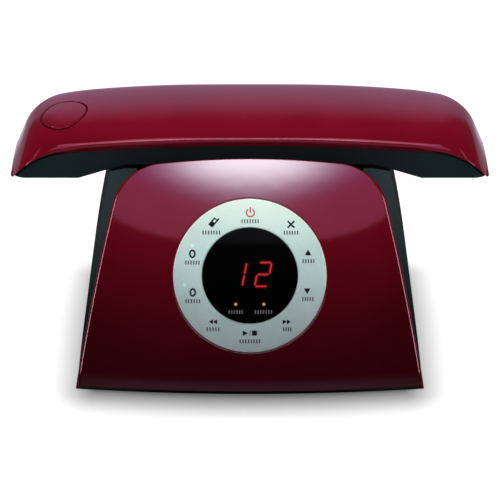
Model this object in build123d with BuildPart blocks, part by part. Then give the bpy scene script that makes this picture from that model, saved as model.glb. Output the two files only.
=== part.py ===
from build123d import *
import os
from math import atan2, copysign, cos, radians, sin, sqrt, tan

# A cordless telephone: an arched handset lying across a wedge-shaped base with a round control panel.
# X runs along the handset, Y from the sloping front to the back, Z up, in millimetres and degrees.
# The origin is on the floor, under the middle of the base.

os.makedirs("parts", exist_ok=True)

# Base, overall
base_width = 167.0
base_mid_share = 0.914
base_top_share = 0.784
foot_height = 2.0
face_lean = 28.0
rear_lean = 8.0
body_wall = 2.5
body_edge_radius = 6.0

# Cradle on top of the base
front_lip_rise = 4.7
rear_lip_rise = 5.2
rear_lip_thickness = 4.5
trough_depth = 5.0
ridge_width = 4.0
ridge_slope = 2.0
cradle_gap = 1.0
seat_gap = 0.2

# Fascia, measured up the sloping face and out from it
fascia_side_gap = 0.4
fascia_head_share = 0.7425
fascia_bulge = 0.8
fascia_height = 107.9
fascia_arch = 4.8
fascia_corner_radius = 26.0
fascia_crest = 9.0
fascia_bow = 6.0
fascia_edge_radius = 2.2
fascia_wall = 2.6
fascia_lip_thickness = 3.3

# Control panel in the fascia
ring_rise_share = 0.4847
ring_outer_radius = 36.9
ring_inner_share = 0.626
ring_thickness = 2.4
ring_stand = 0.4
ring_edge = 0.5
ring_ledge = 4.0
seat_depth = 3.5
seat_rim = 4.0
lens_drop = 0.5
touch_overlap = 2.6
display_board_rim = 2.6
display_board_set = 3.0
digit_width_share = 1.472
digit_height_share = 0.866
lamp_radius = 1.5
lamp_spread_share = 0.29
lamp_drop_share = 0.61

# Handset, overall
handset_length = 234.0
handset_width = 52.0
handset_top_rise = 14.2
handset_level_share = 0.171
handset_shoulder_drop = 5.8
handset_shoulder_radius = 32.0
handset_end_slope = 12.0
handset_edge_radius = 8.0
handset_wall = 2.4
grip_depth = 10.0
grip_share = 0.513
end_depth = 17.3
end_flat_length = 34.0
lower_inset = 1.4
parting_knee_set = 25.0
parting_drop = 4.3
tip_skin = 2.7
tip_lift = 0.8

# Keys on the handset's inner face, along it as shares of the grip's half and across it of the shell's half
key_length_share = 0.133
key_width_share = 0.44
key_row_share = 0.175
key_column_share = 0.56
first_row_share = 0.075
key_proud = 1.4
key_flange = 0.6
key_flange_height = 1.0
key_corner = 2.0
key_edge = 0.5
key_travel = 0.8
function_row_share = -0.142
soft_row_share = -0.325
rocker_length_share = 0.266
rocker_width_share = 0.4
rocker_pivot_radius = 0.7
rocker_pin = 1.4
rocker_gap = 0.5
mat_skin = 0.8
mat_border = 0.8
screen_length_share = 0.433
screen_width_share = 1.44
screen_place_share = -0.65
screen_module_share = 1.62
board_end_share = 0.867

# Round button in the handset's top shell
button_set = 25.9
button_offset_share = -0.23
button_radius = 11.3
button_tilt = 14.5
button_depth = 5.2
button_travel = 0.6
button_groove = 0.45
button_board_thickness = 1.2
collar_wall = 1.6
switch_side = 6.0
switch_height = 3.0
switch_plunger_radius = 1.6
switch_plunger_height = 1.0

# Pieces inside the handset
ear_speaker_set = 19.0
ear_speaker_radius = 10.0
ear_speaker_height = 5.0
ear_hole_radius = 0.9
ear_hole_circle_radius = 4.0
ear_hole_count = 6
microphone_set = 12.0
microphone_radius = 3.0
microphone_height = 2.5
microphone_hole_radius = 0.6
battery_set = 6.0
battery_end_set = 20.0
battery_cell_radius = 5.25
battery_rib = 1.8
door_start_share = 0.21
door_end_share = 0.58
door_width_share = 1.35
case_screw_share = 0.942
case_screw_spread_share = 0.65
pad_length_share = 0.1
pad_width = 5.0
pad_post = 3.0

# Charge contacts in the cradle
contact_share = 0.792
contact_spread_share = 0.36
contact_length = 4.0
contact_width = 2.4
contact_round = 1.1
contact_edge = 0.8
contact_flange = 1.0
contact_travel = 1.2
contact_touch = 0.1
contact_block_length = 12.0
contact_block_width = 26.0
contact_block_height = 6.0

# Pieces inside the base
foot_radius = 7.0
foot_recess = 0.8
foot_edge = 0.6
foot_side_set = 21.5
foot_front_set = 14.8
foot_rear_set = 16.0
cover_screw_side_set = 13.5
cover_screw_front_set = 26.8
cover_screw_rear_set = 25.0
cover_boss_height = 18.0
fascia_screw_foot_shares = (0.67, 0.185)
fascia_screw_head_shares = (0.6, 0.78)
fascia_screw_bite = 3.0
display_post_set = 0.4
display_post_radius = 3.0
display_post_count = 3
display_post_angle = 90.0
header_share = 0.732
header_width = 3.0
header_length = 12.0
main_board_width_share = 0.66
main_board_depth_share = 0.397
main_board_rise = 7.5
board_screw_inset = 5.0
shield_shares = (0.254, 0.76)
shield_length = 24.0
shield_width = 18.0
shield_height = 3.5
shield_skin = 0.5
capacitor_shares = (-0.272, 0.76)
capacitor_pitch = 11.0
capacitor_count = 3
capacitor_radius = 4.0
capacitor_height = 11.0
capacitor_edge = 0.6
line_jack_x = -22.0
line_jack_width = 13.0
line_jack_height = 13.0
line_jack_depth = 18.0
line_socket_width = 9.8
line_socket_height = 6.8
line_socket_depth = 12.0
line_latch_width = 4.2
line_latch_height = 1.6
power_jack_x = 20.0
power_jack_width = 9.0
power_jack_height = 11.0
power_jack_depth = 14.0
power_bore_radius = 3.2
power_bore_depth = 9.5
power_pin_radius = 1.05
jack_reach = 8.0
speaker_side_share = -0.24
speaker_front_set = 28.5
speaker_radius = 17.0
speaker_height = 10.0
speaker_rim = 1.6
magnet_radius = 9.0
magnet_height = 4.0
cone_skin = 0.6
cone_dome_radius = 4.5
speaker_slot_count = 5
speaker_slot_pitch = 5.0
speaker_slot_length = 24.0
speaker_slot_width = 2.0
cable_drop_share = 0.596
cable_reach = 10.0
cable_rise = 16.0
cable_end_share = 0.92
cable_bend = 4.0
cable_thickness = 0.8
cable_width = 12.0

# Boards, fasteners and clearances
board_thickness = 1.6
cover_thickness = 2.5
screw_radius = 1.2
screw_head_radius = 2.8
screw_head_height = 1.5
screw_length = 8.0
boss_radius = 3.2
pilot_gap = 0.05
fit_gap = 0.2
slide_gap = 0.3
cut_over = 4.0

# Places and planes worked out from the sizes
lean = radians(face_lean)
base_bottom = foot_height
base_mid_width = base_mid_share * base_width
base_top_width = base_top_share * base_width
fascia_foot_width = base_width - 2 * fascia_side_gap
fascia_head_width = fascia_head_share * base_width
cradle_height = base_bottom + fascia_height * cos(lean) + fascia_crest * sin(lean) - front_lip_rise
rear_lip_height = cradle_height + rear_lip_rise
lower_half = handset_width / 2 - lower_inset
lower_inner = lower_half - handset_wall
lip_reach = fascia_height * sin(lean) - fascia_crest * cos(lean) + fascia_lip_thickness
rear_reach = (rear_lip_height - base_bottom) * tan(radians(rear_lean))
cradle_width = 2 * (lower_half + cradle_gap)
base_depth = fascia_crest / cos(lean) + lip_reach + cradle_width + rear_lip_thickness + rear_reach
face_foot_y = -base_depth / 2 + fascia_crest / cos(lean)
face_normal = (0, -cos(lean), sin(lean))
face_up = (0, sin(lean), cos(lean))
face_plane = Plane(origin=(0, face_foot_y, base_bottom), x_dir=(1, 0, 0), z_dir=face_normal)
bow_radius = (fascia_foot_width**2 / 4 + fascia_bow**2) / (2 * fascia_bow)

trough_z = cradle_height - trough_depth
lip_back_y = face_foot_y + lip_reach
handset_y = lip_back_y + cradle_gap + lower_half
rear_lip_y = lip_back_y + cradle_width

grip_z = cradle_height + seat_gap
parting_z = grip_z + grip_depth
end_z = parting_z - end_depth
top_z = parting_z + handset_top_rise
shoulder_z = top_z - handset_shoulder_drop
floor_in = grip_z + handset_wall
end_floor_in = end_z + handset_wall
half_length = handset_length / 2
handset_level_half = handset_level_share * half_length
grip_half = grip_share * half_length
end_flat_inner = half_length - end_flat_length
parting_knee = half_length - parting_knee_set
ridge_inner = grip_half - ridge_width
trough_half = ridge_inner - ridge_slope
end_angle = atan2(handset_end_slope, shoulder_z - end_z)
handset_plane = Plane.XZ.offset(-handset_y)

key_length = key_length_share * grip_half
key_width = key_width_share * lower_inner
key_row_pitch = key_row_share * grip_half
key_column_pitch = key_column_share * lower_inner
key_first_row = first_row_share * grip_half
function_row = function_row_share * grip_half
soft_row = soft_row_share * grip_half
rocker_length = rocker_length_share * grip_half
rocker_width = rocker_width_share * lower_inner
screen_length = screen_length_share * grip_half
screen_width = screen_width_share * lower_inner
screen_center = screen_place_share * grip_half
screen_module_width = screen_module_share * lower_inner
handset_board_end = board_end_share * grip_half
pad_length = pad_length_share * grip_half
door_width = door_width_share * lower_inner
key_columns = {
    "left": handset_y + key_column_pitch,
    "middle": handset_y,
    "right": handset_y - key_column_pitch,
}

ring_rise = ring_rise_share * fascia_height
ring_inner_radius = ring_inner_share * ring_outer_radius
touch_board_inner_radius = ring_inner_radius - touch_overlap
display_board_radius = ring_outer_radius + display_board_rim
digit_block_width = digit_width_share * ring_inner_radius
digit_block_height = digit_height_share * ring_inner_radius
lamp_spread = lamp_spread_share * ring_inner_radius
lamp_drop = lamp_drop_share * ring_inner_radius
post_circle_radius = ring_outer_radius - display_post_set
ring_front = fascia_crest + ring_stand
ring_back = ring_front - ring_thickness
seat_back = ring_back - seat_depth
seat_hole_radius = ring_outer_radius - ring_ledge
fascia_hollow_top = (trough_z - base_bottom) / cos(lean) - fascia_wall
cover_top = base_bottom + cover_thickness
board_bottom = cover_top + main_board_rise
board_top = board_bottom + board_thickness

dial_rows = [
    ("key_1", "key_2", "key_3"),
    ("key_4", "key_5", "key_6"),
    ("key_7", "key_8", "key_9"),
    ("key_star", "key_0", "key_hash"),
]
key_pocket = key_flange_height + key_travel + slide_gap
mat_thickness = key_pocket + mat_skin
mat_half = key_length / 2 + key_flange + slide_gap + mat_border
mat_start = soft_row - mat_half
mat_end = key_first_row + (len(dial_rows) - 1) * key_row_pitch + mat_half
mat_width = 2 * (key_column_pitch + key_width / 2 + key_flange + slide_gap + mat_border)
screen_module_length = 2 * (mat_start - slide_gap - screen_center)
rocker_center = (soft_row + function_row) / 2
rocker_axis_z = floor_in + rocker_pivot_radius + pilot_gap

ramp_slope = (grip_z - end_z) / (end_flat_inner - grip_half)
battery_start = grip_half + battery_set
battery_end = half_length - battery_end_set
battery_length = battery_end - battery_start
door_start = grip_half + door_start_share * (half_length - grip_half)
door_end = grip_half + door_end_share * (half_length - grip_half)
button_place = button_set - half_length
ear_speaker_place = ear_speaker_set - half_length
microphone_place = half_length - microphone_set
battery_width = 4 * battery_cell_radius
ramp_wall = handset_wall * sqrt(1 + ramp_slope**2)
battery_bottom = grip_z - ramp_slope * (battery_start - grip_half) + ramp_wall + fit_gap

case_screw_x = case_screw_share * grip_half
case_screw_spread = case_screw_spread_share * lower_inner
case_screw_places = [
    (x, handset_y + y)
    for x in (-case_screw_x, case_screw_x)
    for y in (-case_screw_spread, case_screw_spread)
]
contact_x = contact_share * grip_half
contact_spread = contact_spread_share * lower_inner
contact_places = [(contact_x, handset_y - contact_spread), (contact_x, handset_y + contact_spread)]
cover_screw_places = [
    (side * (base_width / 2 - cover_screw_side_set), y)
    for side in (-1, 1)
    for y in (face_foot_y + cover_screw_front_set, base_depth / 2 - cover_screw_rear_set)
]
foot_places = [
    (side * (base_width / 2 - foot_side_set), y)
    for side in (-1, 1)
    for y in (face_foot_y + foot_front_set, base_depth / 2 - foot_rear_set)
]
fascia_screw_places = [
    (side * x_share * base_width / 2, up_share * fascia_height)
    for x_share, up_share in (fascia_screw_foot_shares, fascia_screw_head_shares)
    for side in (-1, 1)
]


def save(piece, name):
    """Label one finished piece and write its file."""
    piece.part.label = name
    export_step(piece.part, f"parts/{name}.step")


def rear_y(height, inset):
    """Y of the base's back at a height, drawn in from its surface."""
    lean_back = radians(rear_lean)
    return base_depth / 2 - (height - base_bottom) * tan(lean_back) - inset / cos(lean_back)


def face_y(height, inset):
    """Y of the base's sloping front at a height, drawn in from its surface."""
    return face_foot_y + (height - base_bottom) * tan(lean) + inset / cos(lean)


board_rear_y = rear_y(board_bottom, body_wall) - cradle_gap
main_board_width = main_board_width_share * base_width
main_board_depth = main_board_depth_share * base_depth
shield_place = (shield_shares[0] * main_board_width, board_rear_y - shield_shares[1] * main_board_depth)
capacitor_place = (
    capacitor_shares[0] * main_board_width,
    board_rear_y - capacitor_shares[1] * main_board_depth,
)
speaker_place = (speaker_side_share * base_width, face_foot_y + speaker_front_set)
cable_end_y = board_rear_y - cable_end_share * main_board_depth
jack_face_y = rear_y(board_top + line_jack_height, 0) - fit_gap
board_screw_places = [
    (x, y)
    for x in (board_screw_inset - main_board_width / 2, main_board_width / 2 - board_screw_inset)
    for y in (board_rear_y - main_board_depth + board_screw_inset, board_rear_y - board_screw_inset)
]


def base_block(inset, bottom, top):
    """The base's outer form, drawn in by inset and running from bottom to top."""
    middle = (base_bottom + rear_lip_height) / 2
    foot_half = base_width / 2 - inset
    waist_half = base_mid_width / 2 - inset
    head_half = base_top_width / 2 - inset
    with BuildPart() as block:
        with BuildSketch(Plane.YZ):
            Polygon(
                (face_y(bottom, inset), bottom),
                (rear_y(bottom, inset), bottom),
                (rear_y(top, inset), top),
                (face_y(top, inset), top),
                align=None,
            )
        extrude(amount=base_width, both=True)
        with BuildSketch(Plane.XZ):
            with BuildLine():
                right = ThreePointArc(
                    (foot_half, base_bottom), (waist_half, middle), (head_half, rear_lip_height)
                )
                left = ThreePointArc(
                    (-foot_half, base_bottom), (-waist_half, middle), (-head_half, rear_lip_height)
                )
                Line(right @ 1, left @ 1)
                Polyline(right @ 0, (foot_half, bottom - cut_over), (-foot_half, bottom - cut_over), left @ 0)
            make_face()
        extrude(amount=base_depth, both=True, mode=Mode.INTERSECT)
        back_edges = block.faces().sort_by(Axis.Y)[-1].edges().sort_by(Axis.X)
        fillet([back_edges[0], back_edges[-1]], body_edge_radius - inset)
    return block.part


def cradle_void(grow):
    """Room above the base's cradle outline, with its walls and floor moved out by grow."""
    drop = seat_gap + grow
    half_points = [
        (trough_half + grow, trough_z - grow),
        (ridge_inner + grow, grip_z - drop),
        (grip_half, grip_z - drop),
        (base_width / 2, grip_z - drop - ramp_slope * (base_width / 2 - grip_half)),
        (base_width / 2, top_z),
    ]
    outline = half_points + [(-x, z) for x, z in reversed(half_points)]
    with BuildPart() as void:
        with BuildSketch(Plane.XZ.offset(-rear_lip_y - grow)):
            Polygon(*outline, align=None)
        extrude(amount=base_depth)
    return void.part


def fascia_block(inset):
    """The fascia's bowed form, drawn in by inset from its outline and its front."""
    foot_half = fascia_foot_width / 2 - inset
    head_half = fascia_head_width / 2 - inset
    head = fascia_height - inset
    corner = head - fascia_arch
    foot = -fascia_crest
    foot_half += (foot_half - head_half) * fascia_crest / corner
    middle_x = (foot_half + head_half) / 2 + fascia_bulge
    middle_y = (foot + corner) / 2
    bow_center = face_plane.from_local_coords((0, 0, fascia_crest - bow_radius))
    with BuildPart() as block:
        with BuildSketch(face_plane) as outline:
            with BuildLine():
                right = ThreePointArc((foot_half, foot), (middle_x, middle_y), (head_half, corner))
                crown = ThreePointArc(right @ 1, (0, head), (-head_half, corner))
                left = ThreePointArc(crown @ 1, (-middle_x, middle_y), (-foot_half, foot))
                Line(left @ 1, right @ 0)
            make_face()
            fillet(outline.vertices().group_by(Axis.Y)[-1], fascia_corner_radius - inset)
        extrude(amount=fascia_crest)
        with BuildSketch(Plane(bow_center, (1, 0, 0), face_up)):
            Circle(bow_radius - inset)
        extrude(amount=fascia_height + cut_over, both=True, mode=Mode.INTERSECT)
    return block.part


def handset_block(inset, bottom):
    """The handset's arched bar with rounded edges, drawn in by inset and cut level at bottom."""
    end_shift = inset / cos(end_angle)
    shoulder_x = half_length - handset_end_slope - end_shift + inset * tan(end_angle)
    bottom_x = half_length - end_shift - (bottom - end_z) * tan(end_angle)
    with BuildPart() as block:
        with BuildSketch(handset_plane) as outline:
            with BuildLine():
                level = Line((-handset_level_half, top_z - inset), (handset_level_half, top_z - inset))
                right = TangentArc(level @ 1, (shoulder_x, shoulder_z - inset), tangent=level % 1)
                left = TangentArc(level @ 0, (-shoulder_x, shoulder_z - inset), tangent=(level % 0) * -1)
                Polyline(right @ 1, (bottom_x, bottom), (-bottom_x, bottom), left @ 1)
            make_face()
            fillet(outline.vertices().group_by(Axis.Y)[-2], handset_shoulder_radius - inset)
        extrude(amount=handset_width / 2 - inset, both=True)
        rims = block.faces().filter_by(Axis.Y).edges().filter_by(Axis.X, reverse=True)
        fillet(rims, handset_edge_radius - inset)
    return block.part


def below_parting(reach):
    """Everything under the line where the handset's two shells meet, down past the handset by reach."""
    with BuildPart() as below:
        with BuildSketch(handset_plane):
            with BuildLine():
                arch = ThreePointArc(
                    (-parting_knee, parting_z - parting_drop),
                    (0, parting_z),
                    (parting_knee, parting_z - parting_drop),
                )
                right = TangentArc(arch @ 1, (half_length - tip_skin, end_z), tangent=arch % 1)
                left = TangentArc(arch @ 0, (tip_skin - half_length, end_z), tangent=(arch % 0) * -1)
                Polyline(right @ 1, ((right @ 1).X, end_z - reach), ((left @ 1).X, end_z - reach), left @ 1)
            make_face()
        extrude(amount=handset_width, both=True)
    return below.part


def above_underside(rise):
    """Everything over the handset's underside, which steps up in the middle, moved up by rise."""
    with BuildPart() as above:
        with BuildSketch(handset_plane):
            Polygon(
                (handset_length, end_z + rise),
                (end_flat_inner, end_z + rise),
                (grip_half, grip_z + rise),
                (-grip_half, grip_z + rise),
                (-end_flat_inner, end_z + rise),
                (-handset_length, end_z + rise),
                (-handset_length, top_z + cut_over),
                (handset_length, top_z + cut_over),
                align=None,
            )
        extrude(amount=handset_width, both=True)
    return above.part


def screw_group(places, plane, length):
    """Pan-head screws at places on a plane, with heads behind it and shanks along its normal."""
    with BuildPart() as group:
        with BuildSketch(plane):
            with Locations(*places):
                Circle(screw_radius)
        extrude(amount=length)
        with BuildSketch(plane):
            with Locations(*places):
                Circle(screw_head_radius)
        extrude(amount=-screw_head_height)
    return group


def push_key(x, y):
    """A key cap that stands out of the handset's inner face, with a flange that keeps it in."""
    with BuildPart() as key:
        with BuildSketch(Plane.XY.offset(grip_z - key_proud)):
            with Locations((x, y)):
                RectangleRounded(key_length, key_width, key_corner)
        extrude(amount=handset_wall + key_proud)
        fillet(key.faces().sort_by(Axis.Z)[0].edges(), key_edge)
        with BuildSketch(Plane.XY.offset(floor_in)):
            with Locations((x, y)):
                Rectangle(key_length + 2 * key_flange, key_width + 2 * key_flange)
        extrude(amount=key_flange_height)
    return key


# Base body: one hollow moulding with the cradle in its top and its underside open
with BuildPart() as base_hollow:
    add(base_block(body_wall, base_bottom - cut_over, rear_lip_height - body_wall))
    add(cradle_void(body_wall), mode=Mode.SUBTRACT)

with BuildPart() as cover_bosses:
    with BuildSketch(Plane.XY.offset(cover_top)):
        with Locations(*cover_screw_places):
            Circle(boss_radius)
        for x, y in cover_screw_places:
            with Locations(((x + copysign(base_width / 2, x)) / 2, y)):
                Rectangle(base_width / 2 - abs(x), body_wall)
    extrude(amount=cover_boss_height)
    add(base_block(body_wall / 2, base_bottom, rear_lip_height), mode=Mode.INTERSECT)

with BuildPart() as base_body_shell:
    add(base_block(0, base_bottom, rear_lip_height))
    add(cradle_void(0), mode=Mode.SUBTRACT)
    add(base_hollow.part, mode=Mode.SUBTRACT)
    add(cover_bosses.part)
    with BuildSketch(Plane.XY.offset(cover_top)):
        with Locations(*cover_screw_places):
            Circle(screw_radius + pilot_gap)
    extrude(amount=screw_length, mode=Mode.SUBTRACT)
    # Opening behind the control panel and holes for the fascia's screws
    with BuildSketch(face_plane.offset(-body_wall - cut_over)):
        with Locations((0, ring_rise)):
            Circle(display_board_radius + cradle_gap)
        with Locations(*fascia_screw_places):
            Circle(screw_radius + fit_gap)
    extrude(amount=body_wall + 2 * cut_over, mode=Mode.SUBTRACT)
    # Openings for the two jacks in the back
    with BuildSketch(Plane.XZ.offset(-base_depth / 2 - cut_over)):
        with Locations((line_jack_x, board_top + line_jack_height / 2)):
            Rectangle(line_jack_width + 2 * fit_gap, line_jack_height + 2 * fit_gap)
        with Locations((power_jack_x, board_top + power_jack_height / 2)):
            Rectangle(power_jack_width + 2 * fit_gap, power_jack_height + 2 * fit_gap)
    extrude(amount=jack_reach + cut_over, mode=Mode.SUBTRACT)
    # Slots for the charge contacts in the cradle's floor
    with BuildSketch(Plane.XY.offset(trough_z - body_wall - cut_over)):
        with Locations(*contact_places):
            RectangleRounded(
                contact_length + 2 * slide_gap, contact_width + 2 * slide_gap, contact_width / 2
            )
    extrude(amount=body_wall + 2 * cut_over, mode=Mode.SUBTRACT)
save(base_body_shell, "base_body_shell")

# Bottom cover: a plate inside the body's rim, with posts for the main board and slots for the speaker
with BuildPart() as bottom_cover:
    add(base_block(body_wall + fit_gap, base_bottom, cover_top))
    with BuildSketch(Plane.XY.offset(cover_top)):
        with Locations(*board_screw_places):
            Circle(boss_radius)
    extrude(amount=board_bottom - cover_top)
    with BuildSketch(Plane.XY.offset(board_bottom)):
        with Locations(*board_screw_places):
            Circle(screw_radius + pilot_gap)
    extrude(amount=cover_top - board_bottom, mode=Mode.SUBTRACT)
    with BuildSketch(Plane.XY.offset(base_bottom)):
        with Locations(*cover_screw_places):
            Circle(screw_radius + fit_gap)
        with Locations(speaker_place):
            with GridLocations(0, speaker_slot_pitch, 1, speaker_slot_count):
                SlotOverall(speaker_slot_length, speaker_slot_width)
    extrude(amount=cover_thickness, mode=Mode.SUBTRACT)
    with BuildSketch(Plane.XY.offset(base_bottom)):
        with Locations(*cover_screw_places):
            Circle(screw_head_radius + fit_gap)
    extrude(amount=screw_head_height, mode=Mode.SUBTRACT)
    with BuildSketch(Plane.XY.offset(base_bottom)):
        with Locations(*foot_places):
            Circle(foot_radius + fit_gap)
    extrude(amount=foot_recess, mode=Mode.SUBTRACT)
save(bottom_cover, "bottom_cover")

# Rubber feet set into the cover
with BuildPart() as rubber_feet:
    with BuildSketch(Plane.XY):
        with Locations(*foot_places):
            Circle(foot_radius)
    extrude(amount=foot_height + foot_recess)
    fillet(rubber_feet.faces().group_by(Axis.Z)[0].edges(), foot_edge)
save(rubber_feet, "rubber_feet")

bottom_cover_screws = screw_group(
    cover_screw_places, Plane.XY.offset(base_bottom + screw_head_height), screw_length
)
save(bottom_cover_screws, "bottom_cover_screws")

# Fascia: a bowed shell with a rounded edge, whose head is the cradle's front lip
with BuildPart() as fascia_hollow:
    add(fascia_block(fascia_wall))
    with BuildSketch(face_plane):
        with Locations((0, fascia_hollow_top)):
            Rectangle(base_width, fascia_height, align=(Align.CENTER, Align.MIN))
    extrude(amount=fascia_crest, mode=Mode.SUBTRACT)
    split(bisect_by=Plane.XY.offset(base_bottom + fascia_wall), keep=Keep.TOP)

with BuildPart() as fascia_bosses:
    with BuildSketch(face_plane):
        with Locations(*fascia_screw_places):
            Circle(boss_radius)
    extrude(amount=fascia_crest)
    add(fascia_block(fascia_wall / 2), mode=Mode.INTERSECT)

with BuildPart() as front_fascia:
    add(fascia_block(0))
    split(bisect_by=Plane.XY.offset(base_bottom), keep=Keep.TOP)
    bowed_face = front_fascia.faces().filter_by(GeomType.CYLINDER).sort_by(SortBy.AREA)[-1]
    fillet(bowed_face.edges().sort_by(Axis.Z)[1:], fascia_edge_radius)
    add(fascia_hollow.part, mode=Mode.SUBTRACT)
    add(fascia_bosses.part)
    with BuildSketch(face_plane):
        with Locations(*fascia_screw_places):
            Circle(screw_radius + pilot_gap)
    extrude(amount=fascia_screw_bite + fit_gap, mode=Mode.SUBTRACT)
    # Ledge under the ring, and posts for the display board
    with BuildSketch(face_plane.offset(seat_back)):
        with Locations((0, ring_rise)):
            Circle(ring_outer_radius + seat_rim)
    extrude(amount=seat_depth)
    with BuildSketch(face_plane.offset(-display_board_set)):
        with Locations((0, ring_rise)):
            with PolarLocations(post_circle_radius, display_post_count, display_post_angle):
                Circle(display_post_radius)
    extrude(amount=display_board_set + seat_back)
    with BuildSketch(face_plane.offset(-display_board_set)):
        with Locations((0, ring_rise)):
            with PolarLocations(post_circle_radius, display_post_count, display_post_angle):
                Circle(screw_radius + pilot_gap)
    extrude(amount=screw_length - board_thickness, mode=Mode.SUBTRACT)
    with BuildSketch(face_plane.offset(ring_back)):
        with Locations((0, ring_rise)):
            Circle(ring_outer_radius + fit_gap)
    extrude(amount=ring_thickness + cut_over, mode=Mode.SUBTRACT)
    with BuildSketch(face_plane):
        with Locations((0, ring_rise)):
            Circle(seat_hole_radius)
    extrude(amount=ring_back, mode=Mode.SUBTRACT)
    # The head is cut back upright to clear the handset
    with BuildSketch(Plane.XY.offset(trough_z)):
        with Locations((0, lip_back_y)):
            Rectangle(base_width, base_depth, align=(Align.CENTER, Align.MIN))
    extrude(amount=fascia_height, mode=Mode.SUBTRACT)
save(front_fascia, "front_fascia")

fascia_screws = screw_group(
    fascia_screw_places, face_plane.offset(-body_wall), body_wall + fascia_screw_bite
)
save(fascia_screws, "fascia_screws")

# Control ring: a flat silver annulus with bevelled edges
with BuildPart() as control_ring:
    with BuildSketch(face_plane.offset(ring_back)):
        with Locations((0, ring_rise)):
            Circle(ring_outer_radius)
            Circle(ring_inner_radius, mode=Mode.SUBTRACT)
    extrude(amount=ring_thickness)
    front_face = control_ring.faces().sort_by(Axis((0, 0, 0), face_normal))[-1]
    chamfer(front_face.edges(), ring_edge)
save(control_ring, "control_ring")

# Display window: a round smoked lens just below the ring's face
with BuildPart() as display_window:
    with BuildSketch(face_plane.offset(ring_back)):
        with Locations((0, ring_rise)):
            Circle(ring_inner_radius - fit_gap)
    extrude(amount=ring_thickness - lens_drop)
save(display_window, "display_window")

# Touch board behind the ring, with its header to the display board
with BuildPart() as touch_board:
    with BuildSketch(face_plane.offset(ring_back - board_thickness)):
        with Locations((0, ring_rise)):
            Circle(seat_hole_radius - fit_gap)
            Circle(touch_board_inner_radius, mode=Mode.SUBTRACT)
    extrude(amount=board_thickness)
save(touch_board, "touch_board")

with BuildPart() as touch_header:
    with BuildSketch(face_plane.offset(-display_board_set)):
        with Locations((header_share * ring_outer_radius, ring_rise)):
            Rectangle(header_width, header_length)
    extrude(amount=display_board_set + ring_back - board_thickness)
save(touch_header, "touch_header")

# Display board on the fascia's posts, with the digit block and two indicator lamps
with BuildPart() as display_board:
    with BuildSketch(face_plane.offset(-display_board_set)):
        with Locations((0, ring_rise)):
            Circle(display_board_radius)
            with PolarLocations(post_circle_radius, display_post_count, display_post_angle):
                Circle(screw_radius + fit_gap, mode=Mode.SUBTRACT)
    extrude(amount=-board_thickness)
save(display_board, "display_board")

with BuildPart() as digit_display:
    with BuildSketch(face_plane.offset(-display_board_set)):
        with Locations((0, ring_rise)):
            Rectangle(digit_block_width, digit_block_height)
    extrude(amount=display_board_set + ring_back - slide_gap)
save(digit_display, "digit_display")

with BuildPart() as indicator_lamps:
    with BuildSketch(face_plane.offset(-display_board_set)):
        with Locations((-lamp_spread, ring_rise - lamp_drop), (lamp_spread, ring_rise - lamp_drop)):
            Circle(lamp_radius)
    extrude(amount=display_board_set + ring_back - slide_gap)
save(indicator_lamps, "indicator_lamps")

display_post_places = [
    (
        post_circle_radius * cos(radians(display_post_angle + turn * 360 / display_post_count)),
        ring_rise + post_circle_radius * sin(radians(display_post_angle + turn * 360 / display_post_count)),
    )
    for turn in range(display_post_count)
]
display_board_screws = screw_group(
    display_post_places, face_plane.offset(-display_board_set - board_thickness), screw_length
)
save(display_board_screws, "display_board_screws")

# Main board on the cover's posts
with BuildPart() as main_board:
    with BuildSketch(Plane.XY.offset(board_bottom)):
        with Locations((0, board_rear_y)):
            Rectangle(main_board_width, main_board_depth, align=(Align.CENTER, Align.MAX))
        with Locations(*board_screw_places):
            Circle(screw_radius + fit_gap, mode=Mode.SUBTRACT)
    extrude(amount=board_thickness)
save(main_board, "main_board")

board_screw_plane = Plane((0, 0, board_top), (1, 0, 0), (0, 0, -1))
main_board_screws = screw_group([(x, -y) for x, y in board_screw_places], board_screw_plane, screw_length)
save(main_board_screws, "main_board_screws")

with BuildPart() as radio_shield:
    with BuildSketch(Plane.XY.offset(board_top)):
        with Locations(shield_place):
            Rectangle(shield_length, shield_width)
    extrude(amount=shield_height)
    with BuildSketch(Plane.XY.offset(board_top)):
        with Locations(shield_place):
            Rectangle(shield_length - 2 * shield_skin, shield_width - 2 * shield_skin)
    extrude(amount=shield_height - shield_skin, mode=Mode.SUBTRACT)
save(radio_shield, "radio_shield")

with BuildPart() as board_capacitors:
    with BuildSketch(Plane.XY.offset(board_top)):
        with Locations(capacitor_place):
            with GridLocations(capacitor_pitch, 0, capacitor_count, 1):
                Circle(capacitor_radius)
    extrude(amount=capacitor_height)
    fillet(board_capacitors.faces().group_by(Axis.Z)[-1].edges(), capacitor_edge)
save(board_capacitors, "board_capacitors")

# Jacks at the board's back edge, with their mouths in the body's openings
with BuildPart() as line_jack:
    with BuildSketch(Plane.XY.offset(board_top)):
        with Locations((line_jack_x, jack_face_y)):
            Rectangle(line_jack_width, line_jack_depth, align=(Align.CENTER, Align.MAX))
    extrude(amount=line_jack_height)
    with BuildSketch(Plane.XZ.offset(-jack_face_y)):
        with Locations((line_jack_x, board_top + line_jack_height / 2)):
            Rectangle(line_socket_width, line_socket_height)
            Rectangle(line_latch_width, line_socket_height + 2 * line_latch_height)
    extrude(amount=line_socket_depth, mode=Mode.SUBTRACT)
save(line_jack, "line_jack")

with BuildPart() as power_jack:
    with BuildSketch(Plane.XY.offset(board_top)):
        with Locations((power_jack_x, jack_face_y)):
            Rectangle(power_jack_width, power_jack_depth, align=(Align.CENTER, Align.MAX))
    extrude(amount=power_jack_height)
    with BuildSketch(Plane.XZ.offset(-jack_face_y)):
        with Locations((power_jack_x, board_top + power_jack_height / 2)):
            Circle(power_bore_radius)
            Circle(power_pin_radius, mode=Mode.SUBTRACT)
    extrude(amount=power_bore_depth, mode=Mode.SUBTRACT)
save(power_jack, "power_jack")

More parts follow.
